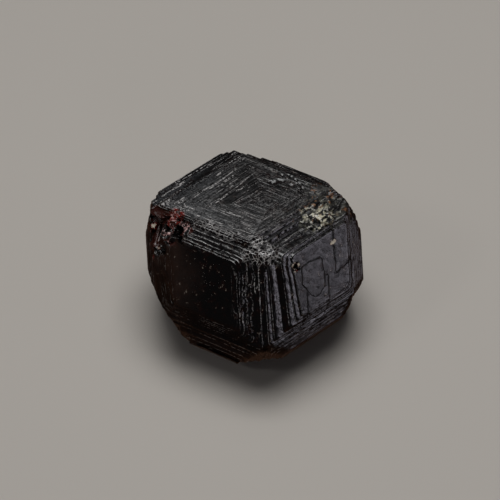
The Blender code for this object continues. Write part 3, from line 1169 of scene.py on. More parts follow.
    def flat_marks(self) -> list[Facets | Bite]:
        """The marks on the front right face's flat.

        Returns:
            The small pale chips, and the pit, black with painted shade, with a ring of shards around it
            that are partly wear and partly painted glints.
        """
        normal = face_normal(Face.FRONT_RIGHT)
        marks = []
        for *place, reach in PALE_CHIPS_MM:
            middle = self.flat_place(*place)
            marks.append(Facets(middle, reach, normal, 2, 0.04, 0.3, 9, dullest=0.97, bordered=False))
        pit = self.flat_place(*RING_PIT_MM)
        wear_and_highlight = Facets(pit, 0.60, normal, 26, 0.05, 0.4, 10, brightest=2.0, dullest=-0.4, bordered=False)
        return [*marks, wear_and_highlight, Bite(pit, normal, 0.32, red=0.5, shard=0.0)]

    def damage(self, points: Array) -> tuple[Array, Damage]:
        """Breaks and chips the mesh.

        Args:
            points: the points.

        Returns:
            The points, and the damage at each.
        """
        damage = Damage.none(len(points))
        marks = (
            *FLAT_BREAKS,
            *self.rim_bites(),
            *self.small_chips(),
            *self.splinters(),
            *self.dark_pits(),
            *self.top_pits(),
            *self.flat_marks(),
        )
        for mark in marks:
            points = mark.cut(points, damage)
        return points, damage

    def join(self, faces: list[dict[str, Array]]) -> Mesh:
        """Joins the faces in one mesh, with their attributes and their UV map.

        Args:
            faces: the mesh of each face.

        Returns:
            The mesh.
        """
        starts = np.cumsum([0] + [len(face["points"]) for face in faces])
        points = np.vstack([face["points"] for face in faces])
        quads = np.vstack([face["quads"] + start for face, start in zip(faces, starts)])
        triangles = np.vstack([face["triangles"] + start for face, start in zip(faces, starts)])
        mesh = bpy.data.meshes.new(self.name)
        mesh.from_pydata(points * MM, [], [*quads.tolist(), *triangles.tolist()])
        for name in ("edge", "inner", "track", "terrace"):
            store(mesh, name, np.concatenate([face[name] for face in faces]))
        flat = np.vstack([face["flat"] for face in faces])
        corners = read(mesh.loops, "vertex_index", 1, np.int32)
        layer = mesh.uv_layers.new(name="OFBake")
        layer.data.foreach_set("uv", flat[corners].astype(np.float32).ravel())
        weld(mesh)
        return mesh

    def build(self, material: Material) -> bpy.types.Object:
        """Makes the crystal and dresses it.

        Args:
            material: its finish.

        Returns:
            The object.
        """
        mesh = self.join(self.faces())
        for spot in self.fine_spots():
            refine(mesh, spot)
        points, damage = self.damage(read_points(mesh))
        points = within_box(points, 0.0)
        mesh.vertices.foreach_set("co", (points * MM).astype(np.float32).ravel())
        mesh.update()
        for name in ("fresh", "shard", "seam"):
            store(mesh, name, getattr(damage, name))
        masks = Masks(points, read_normals(mesh)[:, 2])
        for mask in (masks.frost_and_glints, masks.etching_and_highlight, masks.dust_and_sheen, masks.warm, masks.crust):
            store(mesh, mask.__name__, mask())
        crystal = dress(mesh, material, self.SHARP_DEGREES)
        flatten_shading(mesh, damage.fresh > self.FLAT_FRESHNESS)
        return crystal


@dataclass
class Masks:
    """How frosted (with painted glints), etched (with painted highlights), dusty (with painted sheen),
    warm in tone and crusted the crystal is at each point, from 0 to 1.
    """

    points: Array  # the mesh's points in millimetres
    upwards: Array  # how far the mesh's normals point upwards

    def __post_init__(self) -> None:
        """Measures how far the points are from the front top corner and from its edges."""
        offset = self.points - FRONT_TOP_CORNER
        self.from_corner = np.linalg.norm(offset, axis=1)
        self.from_rim = from_line(offset, GROWTH["A"])
        self.from_front_edge = from_line(offset, GROWTH["C"])
        self.along_rim, self.down = offset @ GROWTH["A"], offset @ GROWTH["C"]
        self.height = offset[:, 2]
        self.left_side = offset @ (face_normal(Face.FRONT_LEFT) - face_normal(Face.FRONT_RIGHT)) > 0
        self.uneven = solid_noise(self.points, 1.3, 51, 1.3)
        self.soft = solid_noise(self.points, 3.5, 52)
        self.upright = past(self.upwards, 0.80, 0.15)

    def rim_frost(self) -> Array:
        """Frost and its painted glints along the rim between the top and the front left face, most of it
        at the front.
        """
        rim = within(self.from_rim, 1.5 + 0.7 * self.uneven, 0.6) * (self.along_rim > -1)
        frost_and_glints = np.maximum(rim, within(self.from_corner, 2.6 + 0.9 * self.uneven, 1.2))
        return frost_and_glints * within(self.along_rim, 9.6, 1.5) * (1 - 0.45 * past(self.along_rim, 2.5, 2.0))

    def frost_and_glints(self) -> Array:
        """The rim's frost and painted glints, which all but end below the rim on the front left face."""
        under = self.left_side * within(self.height, 0.25, 0.5) * past(self.from_corner, 1.2, 1.5)
        return self.rim_frost() * (1 - 0.88 * under)

    def etching_and_highlight(self) -> Array:
        """Etching on the ledges of the front left face, and a little on the right, drawn as pale lines
        that are partly painted highlights.

        Returns:
            The mask.
        """
        left = within(self.from_front_edge, 3.3 + 0.6 * self.uneven, 0.8)
        left = np.maximum(left, 0.4 * within(self.from_rim, 2.2, 0.6))
        right = 0.12 * within(self.from_front_edge, 3.6, 0.8)
        far_right = 0.1 * past(self.points[:, 0], 9.8, 1.0)
        etching_and_highlight = np.maximum(np.where(self.left_side, left, right), far_right)
        return etching_and_highlight * within(self.down, 10.5, 3.0)

    def dust_and_sheen(self) -> Array:
        """Dust and painted sheen on what faces upwards: more of it towards the left, less in the pitted
        part and towards the back right.

        Returns:
            The mask.
        """
        pitted = np.linalg.norm((self.points - PITTED_MIDDLE) * (0.8, 1.0, 1.0), axis=1)
        quiet = within(pitted, 4.5 + self.soft, 3.0)
        back = FRONT_TOP_CORNER + GROWTH["A"] * 4.8 + GROWTH["B"] * 7.2
        from_back = np.linalg.norm((self.points - back)[:, :2], axis=1)
        clean = within(from_back, 3.6 + self.soft, 2.5)
        # Painted sheen: the top is lighter towards the left.
        sheen_leftwards = within(self.points[:, 0], self.soft - 1.5, 4.5)
        dust_and_sheen = self.upright * past(self.height, -1.2, 0.8) * (1 - 0.75 * quiet)
        dust_and_sheen = dust_and_sheen * (1 - self.rim_frost()) * (1 - 0.45 * clean)
        return dust_and_sheen * (0.56 + 0.44 * sheen_leftwards)

    def warm(self) -> Array:
        """Warm brown tones on the left, low down and on the right.

        Returns:
            The mask.
        """
        left = within(self.points[:, 0], 1.2 * self.soft - 6.6, 3.0)
        low = within(self.points[:, 2], 9.5 + 1.5 * self.soft, 3.5)
        right = past(self.points[:, 0], 9.6 - 0.8 * self.soft, 1.6)
        return np.maximum.reduce([left, 0.85 * low, 0.8 * right]) * (1 - self.upright)

    def crust(self) -> Array:
        """The crust around the mica rock, with a ragged edge, and the dark crumbs behind it.

        Returns:
            The mask.
        """
        ragged = solid_noise(self.points, 0.8, 53, 1.4) + 0.6 * solid_noise(self.points, 0.3, 54, 1.6)
        bed = (self.points - MICA_MIDDLE) @ MICA_FRAME.T / MICA_HALF_MM
        from_bed = np.linalg.norm(bed[:, :2] / 1.25, axis=1) + 0.30 * ragged
        crust = within(from_bed, 1.05, 0.30) * (np.abs(bed[:, 2]) < 3.0)
        behind = np.linalg.norm(self.points - RUSTY_MIDDLE, axis=1) + 0.7 * ragged
        return np.maximum(crust, 0.75 * within(behind, 2.0, 0.7))


# ---- Meshes ----


WELD_MM = 0.0005  # points closer than this become one
NORMAL_WEIGHT = 80  # how much a large face counts over a small one in the normals between them


def within_box(points: Array, margin: float) -> Array:
    """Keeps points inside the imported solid's box, a margin in from its sides, in millimetres."""
    low, high = (np.array(corner) / MM for corner in CAD_BOX)
    return np.clip(points, low + margin, high - margin)


def store(mesh: Mesh, name: str, values: Array) -> None:
    """Keeps one number or vector for each point of a mesh.

    Args:
        mesh: the mesh.
        name: the name under which materials read them.
        values: the numbers, or the vectors as rows.
    """
    kind, part = ("FLOAT_VECTOR", "vector") if values.ndim == 2 else ("FLOAT", "value")
    attribute = mesh.attributes.new(name, kind, "POINT")
    attribute.data.foreach_set(part, values.astype(np.float32).ravel())


def read(parts: bpy.types.bpy_prop_collection, name: str, width: int, kind: type) -> Array:
    """Reads a property of a mesh's points, edges, faces or corners.

    Args:
        parts: which of them.
        name: the property.
        width: how many numbers it has.
        kind: their type.

    Returns:
        The numbers of all the parts in one row.
    """
    values = np.zeros(len(parts) * width, kind)
    parts.foreach_get(name, values)
    return values


def read_points(mesh: Mesh) -> Array:
    """The points of a mesh in millimetres."""
    return read(mesh.vertices, "co", 3, np.float32).reshape(-1, 3).astype(float) / MM


def read_normals(mesh: Mesh) -> Array:
    """The normals of a mesh at its points."""
    return read(mesh.vertices, "normal", 3, np.float32).reshape(-1, 3).astype(float)


def weld(mesh: Mesh) -> None:
    """Joins a mesh's seams and turns its faces outwards.

    Args:
        mesh: the mesh.
    """
    work = bmesh.new()
    work.from_mesh(mesh)
    bmesh.ops.remove_doubles(work, verts=work.verts, dist=WELD_MM * MM)
    bmesh.ops.recalc_face_normals(work, faces=work.faces)
    work.to_mesh(mesh)
    work.free()


def refine(mesh: Mesh, spot: Spot) -> None:
    """Halves the long edges around a place, twice over.

    Args:
        mesh: the mesh.
        spot: the place.
    """
    for _ in range(2):
        points = read_points(mesh)
        ends = read(mesh.edges, "vertices", 2, np.int32)
        first, second = points[ends[::2]], points[ends[1::2]]
        near = np.linalg.norm((first + second) / 2 - spot.centre, axis=1) < spot.reach
        long = np.linalg.norm(first - second, axis=1) > spot.longest
        work = bmesh.new()
        work.from_mesh(mesh)
        work.edges.ensure_lookup_table()
        chosen = [work.edges[number] for number in np.flatnonzero(near & long)]
        bmesh.ops.subdivide_edges(work, edges=chosen, cuts=1, use_grid_fill=True)
        work.to_mesh(mesh)
        work.free()


def flatten_shading(mesh: Mesh, chosen: Array) -> None:
    """Shades the faces flat whose first corner is one of the chosen points.

    Args:
        mesh: the mesh.
        chosen: for each point, whether it is chosen.
    """
    first = read(mesh.polygons, "loop_start", 1, np.int32)
    corners = read(mesh.loops, "vertex_index", 1, np.int32)
    sharp = mesh.attributes.get("sharp_face") or mesh.attributes.new("sharp_face", "BOOLEAN", "FACE")
    sharp.data.foreach_set("value", chosen[corners[first]])


def dress(mesh: Mesh, material: Material, sharp_degrees: float) -> bpy.types.Object:
    """Shades a mesh, gives it its material and puts it in an object of its name.

    Args:
        mesh: the mesh.
        material: the material.
        sharp_degrees: faces that meet at a larger angle keep a hard edge between them.

    Returns:
        The object.
    """
    mesh.materials.append(material)
    mesh.shade_smooth()
    mesh.set_sharp_from_angle(angle=math.radians(sharp_degrees))
    thing = bpy.data.objects.new(mesh.name, mesh)
    bpy.context.scene.collection.objects.link(thing)
    weighted = thing.modifiers.new("even_shading", "WEIGHTED_NORMAL")
    weighted.keep_sharp = True
    weighted.weight = NORMAL_WEIGHT
    return thing


# ---- Mica rock ----


@dataclass
class MicaRock:
    """The lump of mica rock that clings to the right corner."""

    name: str = "mica_rock_lump"  # the piece's name
    rings: int = 110  # rows of points from pole to pole, with the poles
    columns: int = 150  # points round it

    MARGIN = 0.02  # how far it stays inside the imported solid's box
    SHARP_DEGREES = 30

    def lump(self) -> Array:
        """The lump: a flattened ball, pushed in and out by noise in plateaus of three sizes.

        Returns:
            Its points in millimetres along its own directions, without the poles.
        """
        lift = np.linspace(-math.pi / 2, math.pi / 2, self.rings)[1:-1, None]
        turn = np.linspace(0, 2 * math.pi, self.columns, endpoint=False)[None, :]
        ball = np.stack(
            [np.cos(lift) * np.cos(turn), np.cos(lift) * np.sin(turn), np.sin(lift) + 0 * turn], -1
        )
        local = ball * MICA_HALF_MM
        bump = 0.62 * solid_noise(local, 1.2, 61, 1.4) + 0.30 * solid_noise(local, 0.5, 62, 2.2)
        bump += 0.12 * solid_noise(local, 0.22, 63, 2.5) - 0.12
        return (local + ball * bump[..., None]).reshape(-1, 3)

    def build(self, material: Material) -> bpy.types.Object:
        """Makes the lump, with a point at each pole to close it, and dresses it.

        Args:
            material: its finish.

        Returns:
            The object.
        """
        local = self.lump()
        index, ahead, quads = closed_grid(self.rings - 2, self.columns)
        top, bottom = local[index[-1]].mean(axis=0), local[index[0]].mean(axis=0)
        cap = np.full(self.columns, len(local))
        upper = np.stack([index[-1], ahead[-1], cap], axis=-1)
        lower = np.stack([ahead[0], index[0], cap + 1], axis=-1)
        points = MICA_MIDDLE + np.vstack([local, top, bottom]) @ MICA_FRAME
        points = within_box(points, self.MARGIN)
        mesh = bpy.data.meshes.new(self.name)
        mesh.from_pydata(points * MM, [], [*quads.tolist(), *upper.tolist(), *lower.tolist()])
        weld(mesh)
        return dress(mesh, material, self.SHARP_DEGREES)


@dataclass(frozen=True)
class GrainPatch:
    """Where small grains lie on the crystal."""

    centre: Array  # the middle of the patch in millimetres
    reach: float  # how far it spreads
    count: int  # how many grains
    size: float  # the largest grain's radius


@dataclass
class Grains:
    """Small flat grains and flakes that lie on a surface, joined in one mesh."""

    name: str  # the piece's name
    patches: tuple[GrainPatch, ...]  # where they lie
    seed: int  # picks their places and shapes

    CORNERS = 6
    CORNER_REACH = (0.5, 1.0)  # how far out a corner lies, over the grain's size
    STRETCH = (0.35, 1.0)  # how wide a grain is, over its length
    LEAN = 0.45  # how steeply a grain may lean
    HALF_THICK, PROUD = 0.30, 0.12  # half its thickness and its height, over its size
    MARGIN = 0.01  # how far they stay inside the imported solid's box
    SHARP_DEGREES = 1

    def places(self, surface: Mesh) -> tuple[Array, Array, Array]:
        """Chooses points of the surface, fewer towards the edge of each patch.

        Args:
            surface: what the grains lie on.

        Returns:
            The chosen points, their normals and the grains' sizes.
        """
        points, normals = read_points(surface), read_normals(surface)
        random = np.random.default_rng(SEED + self.seed)
        chosen, ways, sizes = [], [], []
        for patch in self.patches:
            away = np.linalg.norm(points - patch.centre, axis=1) / patch.reach
            members = np.flatnonzero(away < 1)
            weights = 1.02 - away[members]
            picked = random.choice(members, patch.count, p=weights / weights.sum())
            chosen.append(points[picked])
            ways.append(normals[picked])
            sizes.append(patch.size * random.uniform(0.3, 1.0, patch.count) ** 1.5)
        return np.vstack(chosen), np.vstack(ways), np.concatenate(sizes)

    def build(self, surface: Mesh, material: Material) -> bpy.types.Object:
        """Makes the grains and dresses them.

        Each grain has a ring of corners at random distances around its middle, and a point above
        and one below, so that it is a thin closed shell of twelve triangles.

        Args:
            surface: what they lie on.
            material: their finish.

        Returns:
            The object.
        """
        middle, out, size = self.places(surface)
        random = np.random.default_rng(SEED + self.seed + 1)
        count = len(middle)
        out = unit(out + random.normal(0, self.LEAN, (count, 3)))
        side = unit(np.cross(out, random.normal(0, 1, (count, 3))))
        other = np.cross(out, side)
        turn = np.arange(self.CORNERS) / self.CORNERS * 2 * math.pi
        spread_out = size[:, None] * random.uniform(*self.CORNER_REACH, (count, self.CORNERS))
        stretch = random.uniform(*self.STRETCH, (count, 1))
        ring = side[:, None] * (np.cos(turn) * spread_out)[..., None]
        ring = ring + other[:, None] * (np.sin(turn) * spread_out * stretch)[..., None]
        thick = (out * size[:, None] * self.HALF_THICK)[:, None]
        local = np.concatenate([ring, thick, -thick], axis=1)
        places = middle[:, None] + local + out[:, None] * size[:, None, None] * self.PROUD
        number = np.arange(self.CORNERS)
        ahead = (number + 1) % self.CORNERS
        above, below = np.full(self.CORNERS, self.CORNERS), np.full(self.CORNERS, self.CORNERS + 1)
        one = np.vstack([np.stack([number, ahead, above], -1), np.stack([ahead, number, below], -1)])
        starts = np.arange(count) * (self.CORNERS + 2)
        triangles = (starts[:, None, None] + one).reshape(-1, 3)
        mesh = bpy.data.meshes.new(self.name)
        mesh.from_pydata(within_box(places.reshape(-1, 3), self.MARGIN) * MM, [], triangles.tolist())
        return dress(mesh, material, self.SHARP_DEGREES)


# The patches of thin flakes on the mica rock and around it, and of pale grains on the crystal.
FLAKE_PATCHES = (
    GrainPatch(MICA_BRIGHT_MIDDLE, 2.0, 150, 0.20),
    GrainPatch(MICA_MIDDLE + [0.0, 0.0, 0.6], 3.8, 230, 0.13),
)
GRAIN_PATCHES = (
    GrainPatch((core_corner("AB") + FRONT_TOP_CORNER) / 2 + [0.0, 0.0, 0.7], 6.5, 60, 0.050),
    GrainPatch((core_corner("AC") + FRONT_TOP_CORNER) / 2, 5.5, 90, 0.048),
    GrainPatch(beside_left_corner(2.6, 1.3, -1.3), 1.3, 30, 0.085),
    GrainPatch(beside_left_corner(3.2, -4.6, 0.7), 0.7, 6, 0.10),
    GrainPatch(FRONT_TOP_CORNER + [0.0, 0.0, 0.4], 1.9, 40, 0.070),
    GrainPatch(PITTED_MIDDLE, 2.6, 40, 0.10),
)


# ---- Materials ----

Socket = bpy.types.NodeSocket
Feed = Socket | float | tuple[float, ...]  # what an input takes: another node's output or a value
Colour = tuple[float, float, float, float]


class Nodes:
    """A node tree with short ways to add and join nodes."""

    def __init__(self, tree: Tree) -> None:
        """Keeps the tree that nodes are added to."""
        self.tree = tree

    def add(
        self, kind: str, sockets: dict[str | int, Feed] | None = None, **settings: object
    ) -> bpy.types.Node:
        """Adds a node.

        Args:
            kind: its type, without the ShaderNode in front.
            sockets: for its input sockets, by name or number, a value or the output that feeds it.
            settings: its own settings.

        Returns:
            The node.
        """
        node = self.tree.nodes.new("ShaderNode" + kind)
        for name, value in settings.items():
            setattr(node, name, value)
        self.feed(node, sockets or {})
        return node

    def feed(self, node: bpy.types.Node, sockets: dict[str | int, Feed]) -> None:
        """Sets input sockets of a node to values, or links them to outputs.

        Args:
            node: the node.
            sockets: for its input sockets, by name or number, a value or the output that feeds it.
        """
        for name, value in sockets.items():
            if isinstance(value, Socket):
                self.tree.links.new(value, node.inputs[name])
            else:
                node.inputs[name].default_value = value

    def group(self, shared: Tree, **sockets: Feed) -> bpy.types.bpy_prop_collection:
        """The outputs of a shared effect, placed with values of its own."""
        return self.add("Group", sockets, node_tree=shared).outputs

    def math(self, operation: str, *values: Feed, clamp: bool = False) -> Socket:
        """The result of one sum."""
        sockets = dict(enumerate(values))
        return self.add("Math", sockets, operation=operation, use_clamp=clamp).outputs[0]

    def times(self, *values: Feed) -> Socket:
        """The product of some values."""
        return reduce(lambda first, second: self.math("MULTIPLY", first, second), values)

    def linear(self, value: Feed, slope: float, start: Feed) -> Socket:
        """The start plus the slope times the value."""
        return self.math("MULTIPLY_ADD", value, slope, start)

    def vector(self, operation: str, *values: Feed) -> Socket:
        """The result of one sum of vectors."""
        return self.add("VectorMath", dict(enumerate(values)), operation=operation).outputs[0]

    def scaled(self, vector: Feed, factor: Feed) -> Socket:
        """A vector times a factor."""
        return self.add("VectorMath", {0: vector, "Scale": factor}, operation="SCALE").outputs[0]

    def noise(self, place: Feed, scale: Feed, detail: float, output: str | int = 0) -> Socket:
        """Noise around 0.5, with as many cells to a metre as the scale says."""
        sockets = {"Vector": place, "Scale": scale, "Detail": detail}
        return self.add("TexNoise", sockets).outputs[output]

    def attribute(self, name: str, output: str = "Fac") -> Socket:
        """What the mesh keeps under a name."""
        return self.add("Attribute", attribute_name=name).outputs[output]

    def window(self, value: Feed, low: float, high: float) -> Socket:
        """The value mapped smoothly from low..high to 0..1."""
        sockets = {"Value": value, "From Min": low, "From Max": high}
        return self.add("MapRange", sockets, interpolation_type="SMOOTHSTEP").outputs["Result"]

    def mix(self, share: Feed, first: Feed, second: Feed) -> Socket:
        """Two colours mixed by a share."""
        sockets = {"Factor": share, 6: first, 7: second}
        return self.add("Mix", sockets, data_type="RGBA").outputs[2]

    def bump(self, height: Feed, distance: float, strength: Feed, normal: Socket) -> Socket:
        """A normal leant by a height, which is worth the distance in metres where it is 1."""
        sockets = {"Height": height, "Distance": distance, "Strength": strength, "Normal": normal}
        return self.add("Bump", sockets).outputs[0]


def colour(red: float, green: float, blue: float) -> Colour:
    """An opaque colour."""
    return (red, green, blue, 1.0)


def effect(
    name: str, inputs: dict[str, str], outputs: dict[str, str]
) -> tuple[Nodes, bpy.types.bpy_prop_collection, bpy.types.Node]:
    """Starts a node group.

    Args:
        name: its name.
        inputs: for each input, its kind: Float, Vector or Color.
        outputs: the same for its outputs.

    Returns:
        The nodes of the group, what it is given, by name, and the node that takes its outputs.
    """
    group = bpy.data.node_groups.new(name, "ShaderNodeTree")
    for sockets, way in ((inputs, "INPUT"), (outputs, "OUTPUT")):
        for title, kind in sockets.items():
            group.interface.new_socket(title, in_out=way, socket_type="NodeSocket" + kind)
    given = group.nodes.new("NodeGroupInput").outputs
    return Nodes(group), given, group.nodes.new("NodeGroupOutput")


def grain_effect() -> Tree:
    """Makes fine grains, and blotches ten times as wide, both from 0 to 1.

    Returns:
        The node group.
    """
    nodes, given, end = effect(
        "grain", {"Vector": "Vector", "Scale": "Float"}, {"Grain": "Float", "Blotch": "Float"}
    )
    place, scale = given["Vector"], given["Scale"]
    grain, blotch = nodes.noise(place, scale, 4.0), nodes.noise(place, nodes.times(scale, 0.1), 3.0)
    windows = {"Grain": nodes.window(grain, 0.35, 0.65), "Blotch": nodes.window(blotch, 0.35, 0.65)}
    nodes.feed(end, windows)
    return nodes.tree


def glint_effect() -> Tree:
    """Makes small flat facets, each tilted its own way, with its random number and its border.

    The facets are the cells around random points, and their borders wander with a fine noise.

    Returns:
        The node group.
    """
    nodes, given, end = effect(
        "glint",
        {"Vector": "Vector", "Scale": "Float", "Tilt": "Float"},
        {"Normal": "Vector", "Number": "Float", "Border": "Float"},
    )
    wave = nodes.noise(given["Vector"], 1600.0, 2.0, "Color")
    place = nodes.vector("ADD", given["Vector"], nodes.scaled(wave, 0.7 * MM))
    sockets = {"Vector": place, "Scale": given["Scale"]}
    cells = nodes.add("TexVoronoi", sockets).outputs["Color"]
    centred = nodes.vector("SUBTRACT", cells, (0.5, 0.5, 0.5))
    surface = nodes.add("NewGeometry").outputs["Normal"]
    leant = nodes.vector("ADD", surface, nodes.scaled(centred, given["Tilt"]))
    normal = nodes.vector("NORMALIZE", leant)
    number = nodes.add("SeparateColor", {"Color": cells}).outputs[0]
    apart = nodes.add("TexVoronoi", sockets, feature="DISTANCE_TO_EDGE").outputs["Distance"]
    border = nodes.window(apart, 0.095, 0.03)
    nodes.feed(end, {"Normal": normal, "Number": number, "Border": border})
    return nodes.tree


@dataclass(frozen=True)
class CrumbTones:
    """The colours of crumbly mica rock."""

    # The two colours far from the middle, which take turns in blotches, and those of the middle.
    dim: tuple[Colour, Colour] = (colour(0.006, 0.006, 0.005), colour(0.050, 0.048, 0.036))
    lit: tuple[Colour, Colour] = (colour(0.10, 0.096, 0.070), colour(0.72, 0.68, 0.52))
    flake: Colour = colour(0.92, 0.90, 0.82)
    rust: Colour = colour(0.28, 0.115, 0.042)
    # Near-black spots of painted shade in the rock's pits.
    pit: Colour = colour(0.004, 0.003, 0.003)


def crumb_effect(tones: CrumbTones) -> Tree:
    """Makes the colour of mica rock: pale and yellow in the middle, dark and rusty around it, with
    near-black spots of painted shade in its pits.

    Args:
        tones: its colours.

    Returns:
        The node group.
    """
    nodes, given, end = effect(
        "mica_crumb", {"Vector": "Vector", "Number": "Float"}, {"Color": "Color"}
    )
    place = given["Vector"]
    middle = tuple(MICA_BRIGHT_MIDDLE * MM)
    away = nodes.add("VectorMath", {0: place, 1: middle}, operation="DISTANCE").outputs["Value"]
    near = nodes.window(away, 3.2 * MM, 0.8 * MM)
    blotch = nodes.window(nodes.noise(place, 800.0, 3.0), 0.42, 0.58)
    tone = nodes.mix(near, nodes.mix(blotch, *tones.dim), nodes.mix(blotch, *tones.lit))
    flaky = nodes.times(nodes.window(given["Number"], 0.70, 0.95), nodes.linear(near, 0.7, 0.3))
    tone = nodes.mix(flaky, tone, tones.flake)
    rusty = nodes.times(nodes.window(nodes.noise(place, 650.0, 3.0), 0.54, 0.62), 0.8)
    tone = nodes.mix(rusty, tone, tones.rust)
    # Painted shade: near-black spots in the pits.
    pitted = nodes.window(nodes.noise(place, 1900.0, 4.0), 0.54, 0.47)
    nodes.feed(end, {"Color": nodes.mix(pitted, tone, tones.pit)})
    return nodes.tree


@dataclass(frozen=True)
class Effects:
    """The node groups that the materials share."""

    grain: Tree
    glint: Tree
    crumb: Tree


def new_material(name: str) -> tuple[Material, Nodes, bpy.types.Node]:
    """Starts a material.

    Args:
        name: its name.

    Returns:
        The material, its nodes and its shader.
    """
    material = bpy.data.materials.new(name)
    material.use_nodes = True
    return material, Nodes(material.node_tree), material.node_tree.nodes["Principled BSDF"]


@dataclass(frozen=True)
class Patterns:
    """The patterns that the parts of the garnet's finish share."""

    specks: Socket  # a fine grain
    blotch: Socket  # the same, ten times as wide
    border: Socket  # the borders of the facets
    wide: Socket  # wide streaks round each face
    narrow: Socket  # narrow streaks round each face
    crumb: Socket  # the mica's colour


@dataclass(frozen=True)
class GarnetFinish:
    """Glassy near-black garnet: striated, frosted in places, red and brown where it is broken, with
    painted sheen, highlights, glints and shade.
    """

    body: Colour = colour(0.0028, 0.0023, 0.0025)
    brown: Colour = colour(0.025, 0.0105, 0.0062)
    ruddy: Colour = colour(0.0090, 0.0026, 0.0020)
    # Dust on what faces up, which also stands for a painted sheen of the light on the top.
    dusty_sheen: Colour = colour(0.0160, 0.0165, 0.0172)
    # A painted sheen: bluish grey light on the left of the top.
    painted_sheen: Colour = colour(0.048, 0.050, 0.053)
    pale: Colour = colour(0.50, 0.48, 0.47)
    cream: Colour = colour(0.68, 0.61, 0.50)
    pink: Colour = colour(0.62, 0.38, 0.36)
    black: Colour = colour(0.0012, 0.0009, 0.0009)
    deep_red: Colour = colour(0.042, 0.0075, 0.0040)
    bright_red: Colour = colour(0.25, 0.016, 0.010)
    gloss: float = 0.10
    ior: float = 1.60

    # How much rougher each of the mesh's masks makes the surface.
    ROUGHER = (("dust_and_sheen", 0.06), ("frost_and_glints", 0.05), ("crust", 0.35), ("inner", 0.09), ("warm", 0.18))

    def streaks(self, nodes: Nodes, across: float, along: float) -> Socket:
        """Streaks round each face: noise with so many cells per millimetre across and along them."""
        track = nodes.attribute("track", "Vector")
        return nodes.noise(nodes.vector("MULTIPLY", track, (across, along, along)), 1.0, 2.0)

    def lines(self, nodes: Nodes, across: float, along: float, width: float) -> Socket:
        """Thin lines round each face, where the noise of such streaks is within a width of halfway."""
        off = nodes.math("ABSOLUTE", nodes.math("SUBTRACT", self.streaks(nodes, across, along), 0.5))
        return nodes.window(off, width, width * 0.4)

    def striated(self, nodes: Nodes, tone: Socket, patterns: Patterns) -> Socket:
        """The colour with the dusty film of painted sheen, its dark lines, and the pale lines painted as
        highlights on the striated parts.

        Args:
            nodes: the material's nodes.
            tone: the colour under them.
            patterns: the finish's patterns.

        Returns:
            The colour.
        """
        dust_and_sheen, etching_and_highlight, specks = nodes.attribute("dust_and_sheen"), nodes.attribute("etching_and_highlight"), patterns.specks
        # The dusty film: dust, and a painted sheen of the light on the top.
        tone = nodes.mix(nodes.times(dust_and_sheen, nodes.window(specks, -0.3, 1.0)), tone, self.dusty_sheen)
        # Dark lines where the painted sheen breaks.
        dark = nodes.times(self.lines(nodes, 2.2, 0.06, 0.10), dust_and_sheen)
        tone = nodes.mix(nodes.math("MULTIPLY", dark, 1.4, clamp=True), tone, self.black)
        # A paler painted sheen where the top is dustiest, towards its left.
        painted_sheen = nodes.times(nodes.window(dust_and_sheen, 0.60, 1.0), nodes.window(specks, -0.2, 1.0), 0.85)
        tone = nodes.mix(painted_sheen, tone, self.painted_sheen)
        # Pale lines along the striae: painted highlights on their edges.
        striae_highlights = nodes.math(
            "MAXIMUM", self.lines(nodes, 3.2, 0.11, 0.026), nodes.window(patterns.narrow, 0.64, 0.69)
        )
        broken_up = nodes.times(nodes.window(patterns.wide, 0.40, 0.54), nodes.window(specks, 0.15, 0.6))
        striae_highlights = nodes.times(striae_highlights, broken_up, dust_and_sheen)
        tone = nodes.mix(nodes.math("MULTIPLY", striae_highlights, 1.35, clamp=True), tone, self.pale)
        # Pale crackle on the etched ledges: partly etching, partly painted highlights.
        crackle_highlight = nodes.times(self.lines(nodes, 2.0, 0.10, 0.018), etching_and_highlight)
        crackle_highlight = nodes.times(crackle_highlight, nodes.window(specks, 0.2, 0.7), 0.75)
        return nodes.mix(crackle_highlight, tone, self.pale)

    def terraces(self, nodes: Nodes) -> tuple[Socket, Socket]:
        """The thin terraces.

        Args:
            nodes: the material's nodes.

        Returns:
            A mask of the lines along their edges, and how high they lie, from 0 to 1.
        """
        apart = nodes.add("SeparateXYZ", {0: nodes.attribute("terrace", "Vector")}).outputs
        first, second, third = (nodes.math("ABSOLUTE", distance) for distance in apart)
        nearest = nodes.math("MINIMUM", nodes.math("MINIMUM", first, second), third)
        broken_up = nodes.window(self.streaks(nodes, 1.5, 1.5), 0.36, 0.46)
        raised = nodes.math("ADD", *(nodes.window(way, 0.05, -0.05) for way in apart[:2]))
        return nodes.times(nodes.window(nearest, 0.10, 0.05), broken_up), raised

    def broken(self, nodes: Nodes, tone: Socket, specks: Socket) -> Socket:
        """The colour with the shards of the broken corner and their pale borders, partly wear and partly
        painted glints.

        Args:
            nodes: the material's nodes.
            tone: the colour under them.
            specks: a fine grain.

        Returns:
            The colour.
        """
        fresh, shard, seam = (nodes.attribute(name) for name in ("fresh", "shard", "seam"))
        red = nodes.mix(nodes.window(shard, 0.35, 0.58), self.black, self.deep_red)
        red = nodes.mix(nodes.window(shard, 0.74, 0.92), red, self.bright_red)
        red = nodes.mix(nodes.window(shard, 0.92, 0.97), red, self.cream)
        tone = nodes.mix(nodes.times(fresh, 0.95), tone, red)
        # Pale pink borders round shards and chips: painted glints on their edges, partly wear.
        line = nodes.times(nodes.window(seam, 0.055, 0.020), nodes.window(specks, 0.30, 0.65))
        return nodes.mix(line, tone, self.pink)

